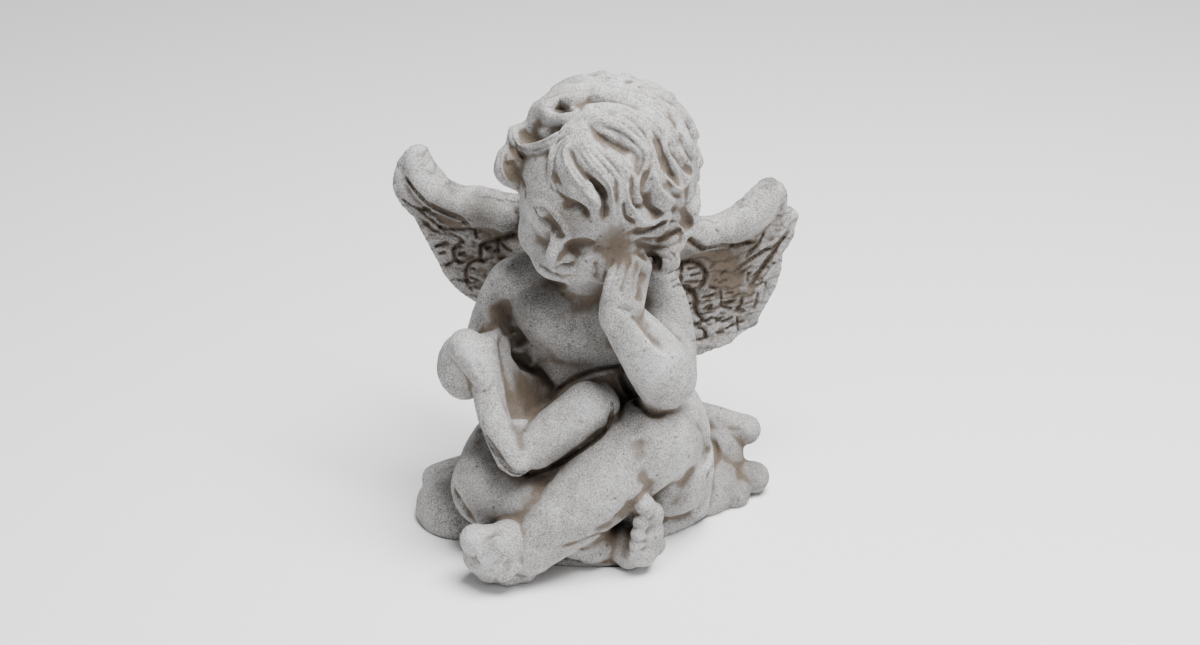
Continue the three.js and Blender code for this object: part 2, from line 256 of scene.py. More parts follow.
FACE_MASSES = {
    "temple": ((558, 205), 14, 18),
    "far cheek": ((549, 231), 20, 14.5),
    "mouth": ((558, 254), 29, 12.5),
    "chin": ((578, 264), 30, 10.5),
    "near cheek": ((598, 254), 36, 13),
    "cheek on the hand": ((617, 246), 34, 13),
    "jaw": ((602, 232), 22, 24),
}
SKULL_RADII = (37, 37, 39)
NOSTRIL_RADII = (2.9, 3.6, 2.7)
FEATURES = {
    "nose": ([(0, -35, 3), (0, -38.5, -5), (0, -42.6, -11.5)], [4.2, 3.9, 4.8]),
    "right nostril": ([(-3.9, -39, -12.5)], NOSTRIL_RADII),
    "left nostril": ([(3.9, -39, -12.5)], NOSTRIL_RADII),
    "upper lip": ([(-8, -33.5, -22), (-4, -37.2, -20.3), (0, -38, -21.2), (4, -37.2, -20.3), (8, -33.5, -22)],
                  [1.0, 2.2, 1.9, 2.2, 1.0]),
    "lower lip": ([(-6, -33.5, -23.8), (0, -36.6, -25.6), (6, -33.5, -23.8)], [1.2, 2.7, 1.2]),
}

skull = [ball(in_head(0, 1, 3), SKULL_RADII, HEAD_EULER)]
for spot, front, size in FACE_MASSES.values():
    skull.append(ball(seen_at(*spot, front), (size, size, size)))
head = fuse(skull, "head", 1.4, 10)

features = []
for points, radii in FEATURES.values():
    places = [in_face(*point) for point in points]
    features += limb(places, radii) if len(places) > 1 else [ball(places[0], radii, FACE_EULER)]
face = fuse([head, *features], "face", 1.0, 5)


# Hair
# Thick wavy locks in loose strands from the crown, built over a rounded cap. The front ones
# lie where the picture shows them; at the back they hang in plain waves, three rows deep.
random.seed(7)
HAIR_CENTRE = in_head(0, 5, 10)
HAIR_RADII = Vector((40, 40.5, 40.5)) * MM
HAIR_DEPTH = 5.5


def on_hair(across, down, lift):
    """The point of the lifted hair outline seen at a place in the picture, or the one nearest to it."""
    start, ahead = picture_ray(across, down)
    back = HEAD_TURN.transposed()
    radii = HAIR_RADII + Vector((lift, lift, lift)) * MM
    p = back @ (start - HAIR_CENTRE)
    d = back @ ahead
    p = Vector([a / r for a, r in zip(p, radii)])
    d = Vector([a / r for a, r in zip(d, radii)])
    half = p.dot(d) / d.dot(d)
    inside = half * half - (p.dot(p) - 1) / d.dot(d)
    along = -half - math.sqrt(max(inside, 0))
    return start + ahead * along


def lock(points, width, rise):
    """A strand through places in the picture, with its top at a rise over the hair outline."""
    places = [on_hair(across, down, rise - width) for across, down in points]
    count = len(places)
    radii = [width * (0.62 + 0.38 * math.sin(math.pi * min(1, 0.18 + i / (count - 1)))) for i in range(count)]
    return limb(places, radii)


LOCKS_SEEN = {
    "temple roll": (8.0, 1.0, [(570, 119), (556, 120), (545, 119)]),
    "temple bulge": (6.0, 0.6, [(541, 110), (537, 116), (536, 122)]),
    "temple curl": (2.8, 1, [(578, 117), (568, 130), (556, 139), (545, 145), (530, 149), (520, 146),
                             (514, 140), (514, 132), (519, 128)]),
    "temple strand": (2.8, -1, [(513, 130), (511, 140), (514, 152), (522, 161), (533, 161)]),
    "ear curl": (3.2, 0.5, [(511, 147), (503, 152), (501, 164), (504, 176), (511, 185), (518, 188)]),
    "fringe edge": (2.3, 0.5, [(570, 128), (561, 139), (553, 152), (551, 166), (551, 181), (556, 194),
                                (561, 199)]),
    "main lobe": (6.0, 2.2, [(571, 140), (566, 158), (571, 174), (580, 190), (590, 203), (594, 212)]),
    "lobe ridge": (3.0, 2.8, [(573, 130), (568, 150), (572, 164), (583, 180), (594, 194), (600, 205)]),
    "second ridge": (3.0, 1.8, [(577, 130), (578, 146), (588, 162), (602, 176), (612, 188), (613, 203),
                                 (616, 221)]),
    "third ridge": (3.6, 2.0, [(582, 128), (592, 148), (608, 164), (620, 180), (620, 200), (622, 220),
                                (634, 229)]),
    "fourth ridge": (3.4, 1.6, [(612, 152), (624, 164), (630, 178), (628, 194), (632, 210), (643, 221),
                                 (658, 223)]),
    "arch": (4.6, 2.2, [(588, 118), (604, 122), (622, 128), (638, 140), (648, 153), (646, 168), (640, 182),
                        (641, 196)]),
    "arch top": (4.6, 1.6, [(590, 112), (610, 110), (632, 118), (650, 133), (658, 152), (657, 172), (655, 190),
                            (658, 204)]),
    "outer lock": (6.0, 1.5, [(600, 96), (628, 101), (652, 113), (668, 130), (672, 150), (676, 164)]),
    "outer strand": (3.0, 1.5, [(655, 140), (661, 156), (667, 172), (672, 184), (682, 190), (690, 181)]),
    "big side lock": (5.4, 1.2, [(612, 84), (640, 91), (662, 103), (679, 122), (690, 144), (697, 162)]),
    "side under": (3.6, 0.5, [(664, 120), (675, 138), (682, 153), (690, 165), (694, 170)]),
    "hanging strand": (3.2, 1.0, [(650, 176), (656, 190), (664, 202), (672, 204)]),
    "side tuft": (4.4, -0.5, [(684, 186), (692, 186), (694, 196), (689, 206)]),
    "side curl": (4.0, -1, [(676, 212), (688, 214), (694, 222), (690, 232)]),
    "cheek curl": (3.2, 2.0, [(632, 234), (650, 232), (667, 224), (679, 224), (685, 234), (681, 246)]),
    "cheek curl second": (3.0, 1.0, [(640, 242), (655, 245), (670, 242), (678, 236)]),
    "nape curl": (3.6, 0, [(645, 249), (660, 254), (673, 256), (675, 264), (666, 271), (654, 273)]),
    "crown mass": (8.0, 0.3, [(590, 95), (610, 86), (630, 87)]),
}
CURL_BEDS = {
    "ear": (9, -2, (513, 168)),
    "temple": (8, -3, (524, 140)),
    "cheek": (8, -4, (664, 244)),
    "nape": (6, -3, (664, 262)),
    "side": (8, -3, (684, 205)),
    "arch": (10, -1.2, (604, 142)),
    "arch end": (9, -1.6, (624, 158)),
    "parting": (8, -2.2, (590, 150)),
}
BACK_LOCKS = 17
BACK_ROWS = ((-66, 5), (-24, 2), (18, 2))
BACK_FROM = 78
BACK_ROUND = 204
LOCK_TOP = 74
LOCK_STEPS = 6
LOCK_TAPER = (0.5, 0.9, 1, 1, 0.95, 0.8, 0.5)
RIDGE_RADIUS = 1.5
BACK_RISE = 0.35
LEAST_STAND = 0.35
HAIR_CAPS = {
    "back of the head": (in_head(0, 8.5, 9), (35.5, 36, 36)),
    "nape": (in_head(0, 14, -11), (29, 21, 22)),
}

strands = [
    ball(HAIR_CENTRE, [radius / MM - HAIR_DEPTH for radius in HAIR_RADII], HEAD_EULER),
]
strands += [ball(place, radii, HEAD_EULER) for place, radii in HAIR_CAPS.values()]
for size, rise, (across, down) in CURL_BEDS.values():
    strands.append(ball(on_hair(across, down, rise - size), (size, size, size)))
for width, rise, points in LOCKS_SEEN.values():
    strands += lock(points, width, rise)


def over_hair(azimuth, elevation, lift):
    """A point over the hair, by its angle round from the face and its angle up."""
    a = math.radians(azimuth)
    e = math.radians(elevation)
    radii = HAIR_RADII / MM
    return HAIR_CENTRE + HEAD_TURN @ (Vector((
        (radii.x + lift) * math.sin(a) * math.cos(e),
        -(radii.y + lift) * math.cos(a) * math.cos(e),
        (radii.z + lift) * math.sin(e),
    )) * MM)


for row, (reach, spread_out) in enumerate(BACK_ROWS):
    for i in range(BACK_LOCKS):
        azimuth = BACK_FROM + BACK_ROUND * (i + 0.5 * row) / (BACK_LOCKS - 1)
        sway = random.uniform(5, 12) * (-1) ** i
        tip = reach + random.uniform(-8, 8)
        width = random.uniform(4.2, 6)
        stand = BACK_RISE * width * max(0, -math.cos(math.radians(azimuth)))
        places = []
        ridge = []
        for step in range(LOCK_STEPS + 1):
            share = step / LOCK_STEPS
            around = azimuth + sway * math.sin(share * math.pi * 1.7)
            up = LOCK_TOP + (tip - LOCK_TOP) * share
            lift = stand * share - width + 0.7 * row * min(1, 2 * share) + spread_out * share
            places.append(over_hair(around, up, lift))
            ridge.append(over_hair(around + 2.2 * math.cos(3 * share), up, lift + width - 0.9))
        strands += limb(places, [width * factor for factor in LOCK_TAPER])
        if stand > LEAST_STAND:
            strands += limb(ridge[2:-1], [RIDGE_RADIUS] * (LOCK_STEPS - 2))
hair = fuse(strands, "hair", 0.9, 2)


# Left hand
# The palm holds the cheek, with the four fingers up beside the curls. It is modelled in
# finer clay than the arm that it grows from.
PALM = [WRIST_LEFT, mm(10, -49, 140), mm(15, -42, 150)]
PALM_RADII = [9.8, 11.2, 8.4]
FINGER_FRONTS = (52, 56, 45)
FINGER_RADII = [2.9, 3.0, 2.3]
FINGERS_SEEN = [
    [(606, 306), (609, 280), (617, 262)],
    [(616, 308), (618, 280), (624, 258)],
    [(625, 308), (628, 280), (633, 256)],
    [(634, 306), (638, 280), (642, 257)],
]

fingers_left = limb(PALM, PALM_RADII)
for i, points in enumerate(FINGERS_SEEN):
    places = [seen_at(*spot, front - i) for spot, front in zip(points, FINGER_FRONTS)]
    fingers_left += limb(places, FINGER_RADII)
hand_left = fuse(fingers_left, "left hand", 0.8, 2)

# Right hand
# A plain rounded mitt that closes over the upper corner of the book, with the heel of the
# hand running down the board.
MITT_RADII = (12.8, 13.5, 16.5)
MITT_HEEL = [((466, 346), 34, 8.4), ((474, 360), 38, 7.6), ((484, 378), 42, 6)]

mitt = [ball(HAND_RIGHT, MITT_RADII)]
mitt += limb([seen_at(*spot, front) for spot, front, _ in MITT_HEEL], [radius for _, _, radius in MITT_HEEL])
hand_right = fuse(mitt, "right hand", 0.9, 8)


# Feet
# Short broad feet, each with five round toes in a row. The left one crosses in front, the
# right one stands out beside it with its sole to the side.
LEFT_FOOT = {
    "heel": ((533, 538), 64, 11),
    "instep": ((508, 545), 68, 12),
    "ball": ((494, 554), 69, 10.5),
    "edge": ((481, 556), 67, 8.6),
    "sole": ((508, 569), 66, 8.2),
    "outer edge": ((523, 568), 64, 7.6),
    "inner edge": ((491, 566), 67, 8),
    "joint": ((489, 543), 69, 9),
    "big toe": ((476, 540), 70, 7.6),
}
LEFT_TOES = {
    "second toe": ([(498, 543), (484, 555)], 3.7),
    "third toe": ([(503, 551), (488, 563)], 3.6),
    "fourth toe": ([(509, 559), (495, 570)], 3.4),
    "little toe": ([(514, 567), (503, 576)], 3.2),
}
RIGHT_FOOT = {
    "ankle": ((600, 540), 50, 10),
    "instep": ((625, 543), 50, 10),
    "upper fan": ((650, 515), 56, 6.8),
    "middle fan": ((648, 532), 57, 7.6),
    "lower fan": ((641, 549), 57, 8.6),
    "rim": ((629, 556), 55, 6.5),
    "big toe": ((646, 507), 62, 5.0),
    "second toe": ((641, 522), 63, 4.1),
    "third toe": ((638, 534), 64, 3.8),
    "fourth toe": ((636, 544), 64, 3.6),
    "little toe": ((634, 553), 64, 3.4),
}
LEFT_TOES_FRONT = 79

soles = []
for masses in (LEFT_FOOT, RIGHT_FOOT):
    for spot, front, size in masses.values():
        soles.append(ball(seen_at(*spot, front), (size, size, size)))
for (root, tip), size in LEFT_TOES.values():
    soles += limb([seen_at(*root, LEFT_TOES_FRONT), seen_at(*tip, LEFT_TOES_FRONT)], [size, size])
toes = fuse(soles, "feet", 0.8, 2)

# Book
# An open book of thick board: two blocks meet at the spine, each bent like a swollen volume.
# It lies in the lap and leans on the right hand, cast in one with both.
BOOK_SPINE = mm(-38, -56, 58)
BOOK_LEAVES = ((mm(-60, -28, 107), 61), (mm(5, -43, 81.5), 55))
BOOK_DEPTH = 38
BOOK_COVER = 18
BOOK_TURN = math.radians(-20)
BOOK_EDGE = 7
SPINE_RADIUS = 7.5
LEFT_BOARD = [((482, 350), 33, 7.4), ((487, 394), 41, 7.2), ((496, 430), 49, 7.2), ((511, 457), 55, 7.4)]
RIGHT_BLOCK = [((535, 446), 47, 11), ((562, 428), 43, 12.5), ((587, 407), 38, 12)]

leaves = []
for edge, length in BOOK_LEAVES:
    run = (edge - BOOK_SPINE).normalized()
    across = Matrix.Rotation(BOOK_TURN, 3, "Z") @ Vector((0, 1, 0))
    facing = run.cross(across).normalized()
    depth = facing.cross(run).normalized()
    bpy.ops.mesh.primitive_cube_add(size=1, location=(0, 0, 0))
    leaf = bpy.context.object
    leaf.scale = Vector((length, BOOK_DEPTH, BOOK_COVER * 0.92)) * MM
    bpy.ops.object.transform_apply(scale=True)
    rounding = leaf.modifiers.new("worn edges", "BEVEL")
    rounding.width = BOOK_EDGE * MM
    rounding.segments = 5
    bpy.ops.object.modifier_apply(modifier="worn edges")
    place = BOOK_SPINE + (run * length + depth * BOOK_DEPTH) * MM / 2
    turn = Matrix((run, depth, facing)).transposed()
    leaf.matrix_world = Matrix.Translation(place) @ turn.to_4x4()
    bpy.ops.object.transform_apply(location=True, rotation=True, scale=True)
    leaves.append(leaf)
leaves += limb([BOOK_SPINE, BOOK_SPINE + depth * BOOK_DEPTH * MM], [SPINE_RADIUS, SPINE_RADIUS])
for swelling in (LEFT_BOARD, RIGHT_BLOCK):
    places = [seen_at(*spot, front) for spot, front, _ in swelling]
    leaves += limb(places, [radius for _, _, radius in swelling])
book = fuse(leaves, "book", 0.9, 4)

# Wings
# Each wing is a plate of feathers behind a thick rolled leading edge that rises to a knob.
# It grows from the shoulder blade by a tapering root.
WINGS = {
    "right wing": {
        "plane": (mm(-91, 48, 147), mm(-72, 40, 112), mm(-28, 24, 139)),
        "outline": [(399, 160), (409, 148), (417, 145), (425, 149), (431, 161), (440, 173), (449, 183),
                    (459, 187), (479, 187), (492, 190), (504, 194), (540, 200), (548, 250), (530, 300), (490, 305),
                    (470, 296), (449, 277), (435, 250), (423, 229), (418, 217), (404, 204), (398, 193), (395, 178)],
        "roll": [((416, 160), 6.5), ((422, 180), 8.5), ((442, 198), 8.5), ((470, 207), 9), ((505, 214), 9)],
        "feathers": [((401, 172), 3.5), ((404, 190), 4), ((418, 205), 4), ((440, 222), 4)],
        "root": [mm(-14, 12, 112), mm(-26, 20, 124), mm(-46, 31, 130)],
    },
    "left wing": {
        "plane": (mm(88, 46, 136), mm(74, 41, 86), mm(31, 24, 127)),
        "outline": [(690, 221), (703, 218), (715, 218), (733, 210), (745, 199), (754, 190), (765, 181),
                    (773, 179), (780, 183), (786, 192), (784, 207), (793, 208), (798, 212), (795, 218), (792, 233),
                    (780, 252), (779, 266), (775, 282), (764, 302), (757, 313), (757, 321), (740, 330), (728, 341),
                    (696, 353), (640, 352), (610, 300), (620, 240)],
        "roll": [((773, 193), 6.5), ((760, 210), 9), ((735, 226), 9), ((705, 235), 7.5), ((670, 245), 8)],
        "feathers": [((788, 213), 2.5), ((784, 232), 3.5), ((772, 255), 3.5), ((758, 285), 3.5),
                     ((748, 312), 3)],
        "root": [mm(4, 12, 108), mm(20, 21, 114), mm(46, 31, 114)],
    },
}
WING_THICKNESS = 8.5
ROOT_RADII = [14, 11, 6]


def on_plane(across, down, plane, lift=0):
    """The point of a plane through three places that is seen at a place in the picture."""
    first, second, third = plane
    facing = (second - first).cross(third - first).normalized()
    facing = facing if facing.y < 0 else -facing
    start, ahead = picture_ray(across, down)
    distance = (first + facing * lift * MM - start).dot(facing) / ahead.dot(facing)
    return start + ahead * distance


wings = []
for name, wing in WINGS.items():
    plane = wing["plane"]
    outline = [on_plane(across, down, plane) for across, down in wing["outline"]]
    plate_mesh = bpy.data.meshes.new(name)
    plate_mesh.from_pydata(outline, [], [list(range(len(outline)))])
    plate = bpy.data.objects.new(name, plate_mesh)
    bpy.context.collection.objects.link(plate)
    bpy.ops.object.select_all(action="DESELECT")
    plate.select_set(True)
    bpy.context.view_layer.objects.active = plate
    thicken = plate.modifiers.new("thicken", "SOLIDIFY")
    thicken.thickness = WING_THICKNESS * MM
    thicken.offset = 0
    bpy.ops.object.modifier_apply(modifier="thicken")
    parts = [plate]
    roll = [on_plane(*spot, plane, 1) for spot, radius in wing["roll"]]
    parts += limb(roll, [radius for spot, radius in wing["roll"]])
    parts += limb([on_plane(*spot, plane, 2.5) for spot, radius in wing["feathers"]],
                  [radius for spot, radius in wing["feathers"]])
    parts += limb(wing["root"], ROOT_RADII)
    wings.append(fuse(parts, name, 1.0, 6))
wing_trees = [BVHTree.FromObject(wing, bpy.context.evaluated_depsgraph_get()) for wing in wings]

# Cloth
# Soft cloth gathered under the child and pushed out to the sides, with a forked end at the
# left. It carries the whole figure.
FOLDS = [
    ([(-48, 30, 12), (-66, 12, 12), (-76, -4, 11), (-70, -18, 8)], 7.5),
    ([(-40, 20, 16), (-66, 14, 14), (-80, 6, 12)], 7.5),
    ([(20, 34, 26), (42, 16, 30), (50, -2, 24), (46, -16, 12)], 7),
    ([(30, 38, 34), (50, 26, 36), (64, 20, 34), (72, 21, 31)], 7.5),
    ([(24, 36, 14), (52, 18, 12), (66, 14, 9), (76, 14, 8)], 8),
    ([(24, 10, 10), (50, 2, 8), (66, 4, 5)], 8),
    ([(20, -14, 10), (34, -18, 9), (46, -12, 7)], 7),
]
CLOTH_MASSES = {
    "seat": (mm(-2, 6, 4), (58, 44, 20)),
    "right bulge": (mm(-66, -7, 5), (24, 26, 16)),
    "left bulge": (mm(44, 12, 8), (26, 26, 20)),
    "gathered knot": (mm(58, 18, 18), (13, 12, 18)),
    "front edge": (mm(-6, -38, 2), (38, 18, 9)),
}

heap = [ball(place, radii) for place, radii in CLOTH_MASSES.values()]
for points, width in FOLDS:
    heap += limb([mm(*point) for point in points], [width] * len(points))
cloth = fuse(heap, "cloth", 1.1, 6)

# Casting
# All the clay becomes one casting in stone. The underside is cut flat after the carving, so
# that it stands by its own weight.
statue = fuse([body, face, hair, hand_left, hand_right, toes, book, *wings, cloth], "stone_putto", 0.95, 1)


# Carving
# Tool strokes in the fused clay: each one follows a line in the picture over the surface
# that is seen there. A stroke with a negative depth builds clay up.
def vectors(item, name):
    values = np.empty(len(item.data.vertices) * 3)
    item.data.vertices.foreach_get(name, values)
    return values.reshape(-1, 3)


def softened(points, rounds=2):
    """Cuts the corners of a line of picture points."""
    for _ in range(rounds):
        if len(points) < 3:
            break
        cut = [points[0]]
        for (ax, ay), (bx, by) in zip(points, points[1:]):
            cut.append((ax * 0.75 + bx * 0.25, ay * 0.75 + by * 0.25))
            cut.append((ax * 0.25 + bx * 0.75, ay * 0.25 + by * 0.75))
        points = cut + [points[-1]]
    return points


def seen_line(tree, points):
    """The places, about half a millimetre apart, where a line of picture points meets the surface."""
    places = []
    facings = []
    line = softened(points)
    for (ax, ay), (bx, by) in zip(line, line[1:]):
        steps = max(1, round(math.hypot(bx - ax, by - ay) / 1.1))
        for i in range(steps):
            share = i / steps
            start, ahead = picture_ray(ax + (bx - ax) * share, ay + (by - ay) * share)
            place, facing, _, _ = tree.ray_cast(start, ahead)
            if place is not None:
                places.append(place)
                facings.append(facing)
    return np.array(places), np.array(facings)


def carve(item, strokes):
    tree = BVHTree.FromObject(item, bpy.context.evaluated_depsgraph_get())
    places = vectors(item, "co")
    normals = vectors(item, "normal")
    moved = places.copy()
    for width, depth, points in strokes:
        line, facing = seen_line(tree, points)
        if len(line) < 2:
            continue
        reach = width * MM
        kernel = np.ones(min(7, len(facing)))
        facing = np.stack([np.convolve(facing[:, axis], kernel, "same") for axis in range(3)], axis=1)
        facing /= np.linalg.norm(facing, axis=1)[:, None] + 1e-9
        near = np.flatnonzero(np.all((places > line.min(0) - reach) & (places < line.max(0) + reach), axis=1))
        gaps = np.linalg.norm(places[near, None, :] - line[None, :, :], axis=2)
        closest = gaps.argmin(axis=1)
        fall = np.clip(1 - gaps[np.arange(len(near)), closest] / reach, 0, 1)
        fall = fall * fall * (3 - 2 * fall)
        share = closest / max(1, len(line) - 1)
        fall *= np.clip(np.minimum(share, 1 - share) * 5 + 0.4, 0, 1)
        side = facing[closest]
        fall *= (normals[near] * side).sum(axis=1) > -0.2
        moved[near] -= side * (fall * depth * MM)[:, None]
    item.data.vertices.foreach_set("co", moved.ravel())
    item.data.update()


def in_picture(places):
    """Where points fall in the 1200 by 645 picture."""
    turn = np.array(camera.matrix_world.to_3x3())
    seen = (places - np.array(camera.location)) @ turn
    return (PICTURE_WIDTH / 2 - FOCAL_PIXELS * seen[:, 0] / seen[:, 2],
            PICTURE_HEIGHT / 2 + FOCAL_PIXELS * seen[:, 1] / seen[:, 2])


def press(item, outline, depth, edge):
    """Sinks the part of the surface that is seen inside a picture outline, with a soft edge."""
    tree = BVHTree.FromObject(item, bpy.context.evaluated_depsgraph_get())
    places = vectors(item, "co")
    across, down = in_picture(places)
    corners = np.array(outline, dtype=float)
    following = np.roll(corners, -1, axis=0)
    inside = np.zeros(len(places), dtype=bool)
    margin = np.full(len(places), 1e9)
    for (ax, ay), (bx, by) in zip(corners, following):
        crosses = (ay > down) != (by > down)
        if by != ay:
            inside ^= crosses & (across < ax + (down - ay) * (bx - ax) / (by - ay))
        length = (bx - ax) ** 2 + (by - ay) ** 2
        share = np.clip(((across - ax) * (bx - ax) + (down - ay) * (by - ay)) / length, 0, 1)
        margin = np.minimum(margin, np.hypot(across - ax - share * (bx - ax), down - ay - share * (by - ay)))
    eye = camera.location
    for i in np.flatnonzero(inside):
        place = Vector(places[i])
        ahead = (place - eye).normalized()
        hit = tree.ray_cast(eye, ahead)[0]
        if hit is not None and (hit - place).length < 1.5 * MM:
            share = min(1, margin[i] / edge)
            places[i] += np.array(ahead) * depth * MM * share * share * (3 - 2 * share)
    item.data.vertices.foreach_set("co", places.ravel())
    item.data.update()


HAIR_HOLLOWS = [
    (6, 5, [(551, 103), (558, 105), (565, 105), (573, 104)]),
    (1.6, -1.2, [(550, 112), (560, 113), (572, 110)]),
    (2.5, 2.5, [(550, 107), (558, 109), (566, 109), (573, 107)]),
    (5, 3, [(523, 131), (527, 139), (536, 140), (546, 137), (554, 132)]),
    (3, 2.5, [(522, 128), (523, 135)]),
    (2, 1.5, [(511, 145), (516, 153), (524, 158)]),
    (5.5, 4.5, [(508, 158), (510, 168), (514, 177), (519, 184)]),
    (3, 2.5, [(522, 182), (524, 190), (523, 197)]),
    (3.5, 2.2, [(562, 201), (567, 207), (577, 205), (583, 210), (585, 217)]),
    (2, 2, [(551, 186), (558, 194), (566, 199), (576, 203), (584, 209), (588, 218)]),
    (3, 2.8, [(597, 186), (602, 193), (605, 202), (605, 211), (603, 219)]),
    (2.4, 1.8, [(569, 150), (577, 166), (588, 177), (599, 185), (604, 192)]),
    (6, 1.5, [(596, 133), (606, 143), (620, 150), (631, 156)]),
    (1.8, 1.2, [(598, 134), (608, 141), (620, 147), (632, 151)]),
    (2, -1.4, [(566, 142), (564, 155), (569, 170), (579, 183), (591, 196), (599, 207)]),
    (1.6, -1.2, [(553, 150), (550, 165), (551, 180), (556, 193)]),
    (1.8, -1.2, [(580, 140), (590, 158), (603, 172), (611, 186), (612, 200)]),
    (1.8, -1.2, [(592, 125), (605, 134), (620, 140), (633, 147), (642, 155)]),
    (1.8, -1.2, [(652, 168), (656, 182), (663, 194), (674, 201)]),
    (1.8, -1.3, [(676, 190), (685, 187), (691, 178)]),
    (2, -1.4, [(636, 222), (648, 224), (658, 222)]),
    (2, -1.5, [(646, 233), (662, 230), (675, 223), (684, 229), (685, 241)]),
    (1.8, 1.4, [(622, 114), (634, 121), (644, 132), (650, 142), (654, 153), (652, 166)]),
    (3.6, 4, [(657, 134), (660, 146), (664, 158), (668, 168), (674, 175), (679, 182)]),
    (3.4, 3.2, [(672, 140), (675, 151), (681, 161), (687, 168), (693, 173)]),
    (3.2, 3.5, [(650, 170), (646, 179), (645, 190), (648, 202), (654, 212), (664, 215)]),
    (2.8, 2.5, [(631, 176), (633, 190), (634, 201), (640, 208), (646, 206)]),
    (2.2, 3, [(624, 204), (625, 213), (629, 220), (635, 222)]),
    (3, 3, [(632, 232), (645, 232), (660, 228), (668, 221)]),
    (2.4, 2.2, [(640, 239), (652, 241), (664, 238), (674, 233), (679, 229)]),
    (2.2, 2.2, [(636, 243), (650, 248), (664, 249), (675, 246), (681, 240)]),
    (4.2, 4, [(640, 252), (650, 257), (656, 262), (652, 270)]),
    (4, 2.4, [(672, 210), (682, 211), (688, 219), (689, 230)]),
    (3, 1.5, [(655, 98), (668, 109), (676, 125), (679, 140), (681, 152)]),
    (2.5, 2, [(668, 184), (674, 196), (684, 198)]),
    (1.6, 1.2, [(572, 132), (562, 146), (558, 160)]),
    (1.6, 1.2, [(590, 140), (600, 154), (612, 164), (618, 174), (617, 190), (617, 206)]),
    (1.6, 1.2, [(622, 158), (628, 168), (637, 172), (640, 180)]),
    (1.6, 1.1, [(630, 127), (640, 136), (647, 148)]),
    (2, 1.4, [(560, 128), (551, 140), (540, 147), (530, 152)]),
]
FACE_STROKES = [
    (5, 3.0, [(543, 213), (550, 223), (557, 233), (558, 243)]),
    (3, -1.6, [(533, 202), (543, 203), (552, 209), (560, 220), (565, 233)]),
    (2.6, -1.2, [(538, 210), (542, 213), (546, 217)]),
    (1.3, 1.5, [(533, 205), (536, 214), (541, 220), (548, 223)]),
    (1.2, 1.0, [(536, 204), (543, 207), (549, 214), (552, 221)]),
    (6, 3.4, [(569, 245), (578, 244), (588, 243), (593, 248)]),
    (4.5, 3.0, [(566, 252), (563, 260), (561, 266)]),
    (2.2, -1.4, [(563, 242), (570, 238), (580, 236), (590, 238), (596, 244)]),
    (1.2, 0.8, [(573, 251), (580, 255), (589, 253)]),
    (1.5, 1.8, [(537, 262), (544, 268), (552, 273), (561, 276)]),
    (2.2, -0.9, [(545, 271), (553, 277), (562, 281)]),
    (1.5, 1.3, [(545, 277), (555, 283), (567, 286)]),
    (1.5, 1.5, [(554, 266), (560, 268)]),
    (3, 1.5, [(594, 262), (596, 272), (595, 282)]),
]
WING_STROKES = [
    (2.2, 1.8, [(406, 178), (412, 188), (420, 197), (427, 204)]),
    (1.4, 1.2, [(402, 199), (409, 205), (418, 209), (428, 211)]),
    (3.4, 2.8, [(428, 205), (440, 212), (450, 216), (460, 219), (467, 225)]),
    (1.4, 1.2, [(418, 210), (432, 221), (446, 233)]),
    (1.4, 1, [(424, 222), (431, 229), (438, 233)]),
    (1.5, 1.3, [(450, 229), (462, 229), (472, 229), (482, 230)]),
    (1.4, 1.1, [(450, 234), (458, 237), (463, 241)]),
    (1.7, 1.8, [(464, 242), (457, 244), (453, 249), (454, 256), (456, 262)]),
    (1.6, 1.5, [(447, 265), (452, 262), (457, 261), (463, 264)]),
    (1.6, 1.4, [(435, 247), (440, 245), (448, 242)]),
    (1.9, 2.2, [(498, 239), (490, 241), (483, 244), (480, 250), (481, 257)]),
    (2, 2.2, [(497, 240), (505, 236), (518, 234)]),
    (1.5, 1.3, [(498, 241), (498, 254)]),
    (1.5, 1.3, [(475, 230), (477, 239)]),
    (1.7, 1.8, [(485, 262), (476, 260), (470, 263), (466, 269), (465, 277), (467, 286)]),
    (1.5, 1.3, [(468, 287), (473, 291)]),
    (1.5, 1.3, [(501, 243), (506, 249), (512, 252)]),
    (2.8, 3, [(688, 239), (696, 246), (704, 251)]),
    (2.4, 1.8, [(700, 250), (712, 248), (722, 245), (735, 246), (745, 243), (756, 242)]),
    (1.5, 1.2, [(764, 233), (760, 242), (754, 248), (748, 252)]),
    (2, 1.6, [(771, 248), (762, 253), (752, 259), (742, 266), (733, 272)]),
    (2.6, 2.4, [(788, 233), (780, 243), (772, 255), (764, 266), (757, 277), (750, 287)]),
    (1.5, 1.2, [(775, 262), (768, 271), (762, 279)]),
    (1.5, 1.2, [(768, 261), (763, 268), (759, 275)]),
    (1.4, 1.1, [(749, 273), (747, 282)]),
    (2.2, 2.8, [(681, 262), (690, 261), (698, 263), (704, 269), (706, 276), (703, 284), (699, 290)]),
    (1.8, 2, [(681, 262), (682, 272), (681, 284)]),
    (2.2, 2.8, [(680, 285), (688, 289), (694, 294), (697, 302), (695, 311), (703, 321)]),
    (1.8, 1.8, [(697, 328), (703, 329), (706, 334), (705, 337)]),
    (1.4, 1.2, [(720, 291), (722, 299), (720, 307), (732, 309)]),
    (1.5, 1.6, [(742, 300), (741, 306), (736, 311)]),
    (1.4, 1.2, [(737, 317), (738, 325), (738, 330)]),
    (1.4, 1.1, [(758, 293), (757, 303), (754, 309)]),
    (1.3, 1, [(766, 282), (766, 288)]),
    (1.3, 1, [(716, 229), (719, 234)]),
    (1.4, 1.2, [(709, 287), (717, 289)]),
]
